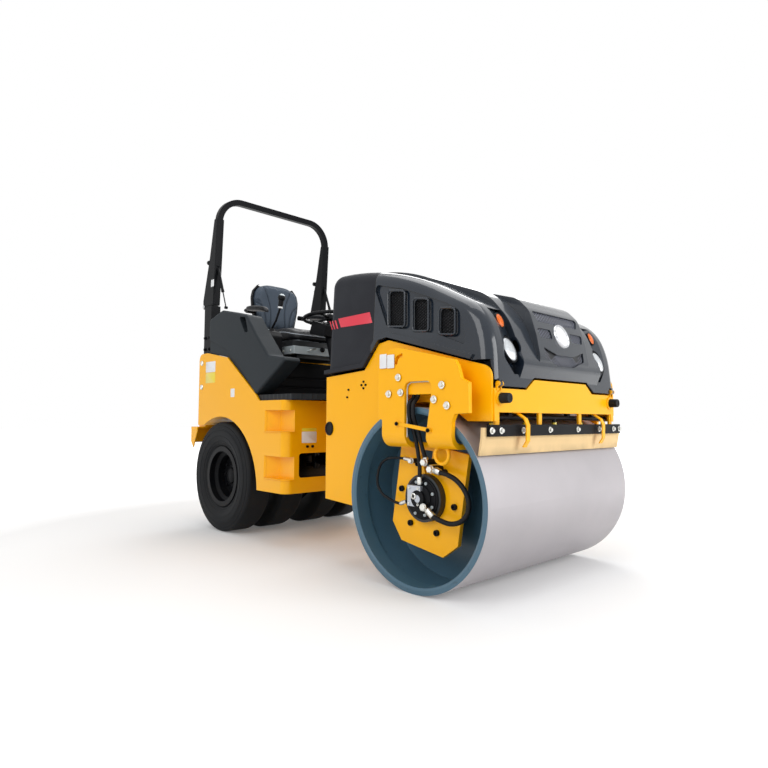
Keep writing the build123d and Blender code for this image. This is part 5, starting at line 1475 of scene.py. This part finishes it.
class ROLLER_OT_controls(bpy.types.Operator):
    """Gauges, switches, the lever's ferrule and cap, and the steering wheel's cap"""

    bl_idname = "roller.controls"
    bl_label = "Controls"

    def execute(self, context):
        lean = math.radians(5.5)
        axis = np.array([-math.sin(lean), 0, math.cos(lean)])
        make("wheel_cap", placed(dome(0.034, 0.012, 32, foot=0.004),
                                 [(-0.495, 0, 1.602) + axis * 0.014], axis, LEFT),
             "rear_frame", "black_plastic")
        dial = lathe([(-0.001, 0.027), (0.003, 0.027), (0.0045, 0.025), (0.0045, 0.023),
                      (0.0025, 0.022), (0.0025, 0.0005)], 36)
        places = [(-0.430, y, 1.5385) for y in (-0.078, 0.078)]
        make("gauges", placed(dial, places, (0.271, 0, 0.963), LEFT), "rear_frame",
             "black_plastic")
        toggle = lathe([(-0.001, 0.013), (0.004, 0.013), (0.006, 0.010), (0.020, 0.0045),
                        (0.026, 0.005), (0.028, 0.003)], 16)
        button = lathe([(-0.001, 0.020), (0.012, 0.018), (0.014, 0.015)], 18)
        deck = 1.490
        toggles = placed(toggle, [(-0.84, y, deck) for y in (-0.375, -0.345, -0.315)], UP, LEFT)
        make("switches", joined(toggles, placed(button, [(-0.92, -0.345, deck)], UP, LEFT)),
             "rear_frame", "black_plastic", "silver_paint")
        grip, knob = np.array([(-0.682, -0.318, 1.662), (-0.670, -0.315, 1.736)])
        ferrule = lathe([(-0.004, 0.0182), (0.006, 0.0186), (0.008, 0.0176)], 28)
        make("lever_ferrule", placed(ferrule, [grip], knob - grip), "rear_frame",
             "bright_steel", "white_film")
        cap = lathe([(0.019, 0.0212), (0.0245, 0.0160), (0.0285, 0.0080), (0.0292, 0.0005)], 28)
        make("lever_cap", placed(cap, [knob], (0.35, 0, 1)), "rear_frame", "bright_steel",
             "silver_paint")
        return {"FINISHED"}


class ROLLER_PT_panel(bpy.types.Panel):
    """Lists the steps that dress the roller"""

    bl_idname = "ROLLER_PT_panel"
    bl_label = "Roller"
    bl_space_type = "VIEW_3D"
    bl_region_type = "UI"
    bl_category = "Roller"

    def draw(self, context):
        for step in STEPS:
            self.layout.operator(step.bl_idname)


STEPS = (ROLLER_OT_stage, ROLLER_OT_finishes, ROLLER_OT_chair, ROLLER_OT_lamps,
         ROLLER_OT_hood_meshes, ROLLER_OT_hood_marks, ROLLER_OT_wheels, ROLLER_OT_drum_ends,
         ROLLER_OT_arms, ROLLER_OT_front_bar, ROLLER_OT_roll_bar, ROLLER_OT_body_plates,
         ROLLER_OT_controls)
CLASSES = (RollerColours, RollerSizes, RollerStage, *STEPS, ROLLER_PT_panel)


def register():
    """Add the roller's classes to Blender, and its settings to the scene."""
    for kind in CLASSES:
        bpy.utils.register_class(kind)
    bpy.types.Scene.roller_colours = bpy.props.PointerProperty(type=RollerColours)
    bpy.types.Scene.roller_sizes = bpy.props.PointerProperty(type=RollerSizes)
    bpy.types.Scene.roller_stage = bpy.props.PointerProperty(type=RollerStage)


def unregister():
    """Take away what register adds."""
    del bpy.types.Scene.roller_stage
    del bpy.types.Scene.roller_sizes
    del bpy.types.Scene.roller_colours
    for kind in reversed(CLASSES):
        bpy.utils.unregister_class(kind)


def main():
    """Dress the roller step by step."""
    register()
    for step in STEPS:
        group, name = step.bl_idname.split(".")
        getattr(getattr(bpy.ops, group), name)()


if __name__ == "__main__":
    main()
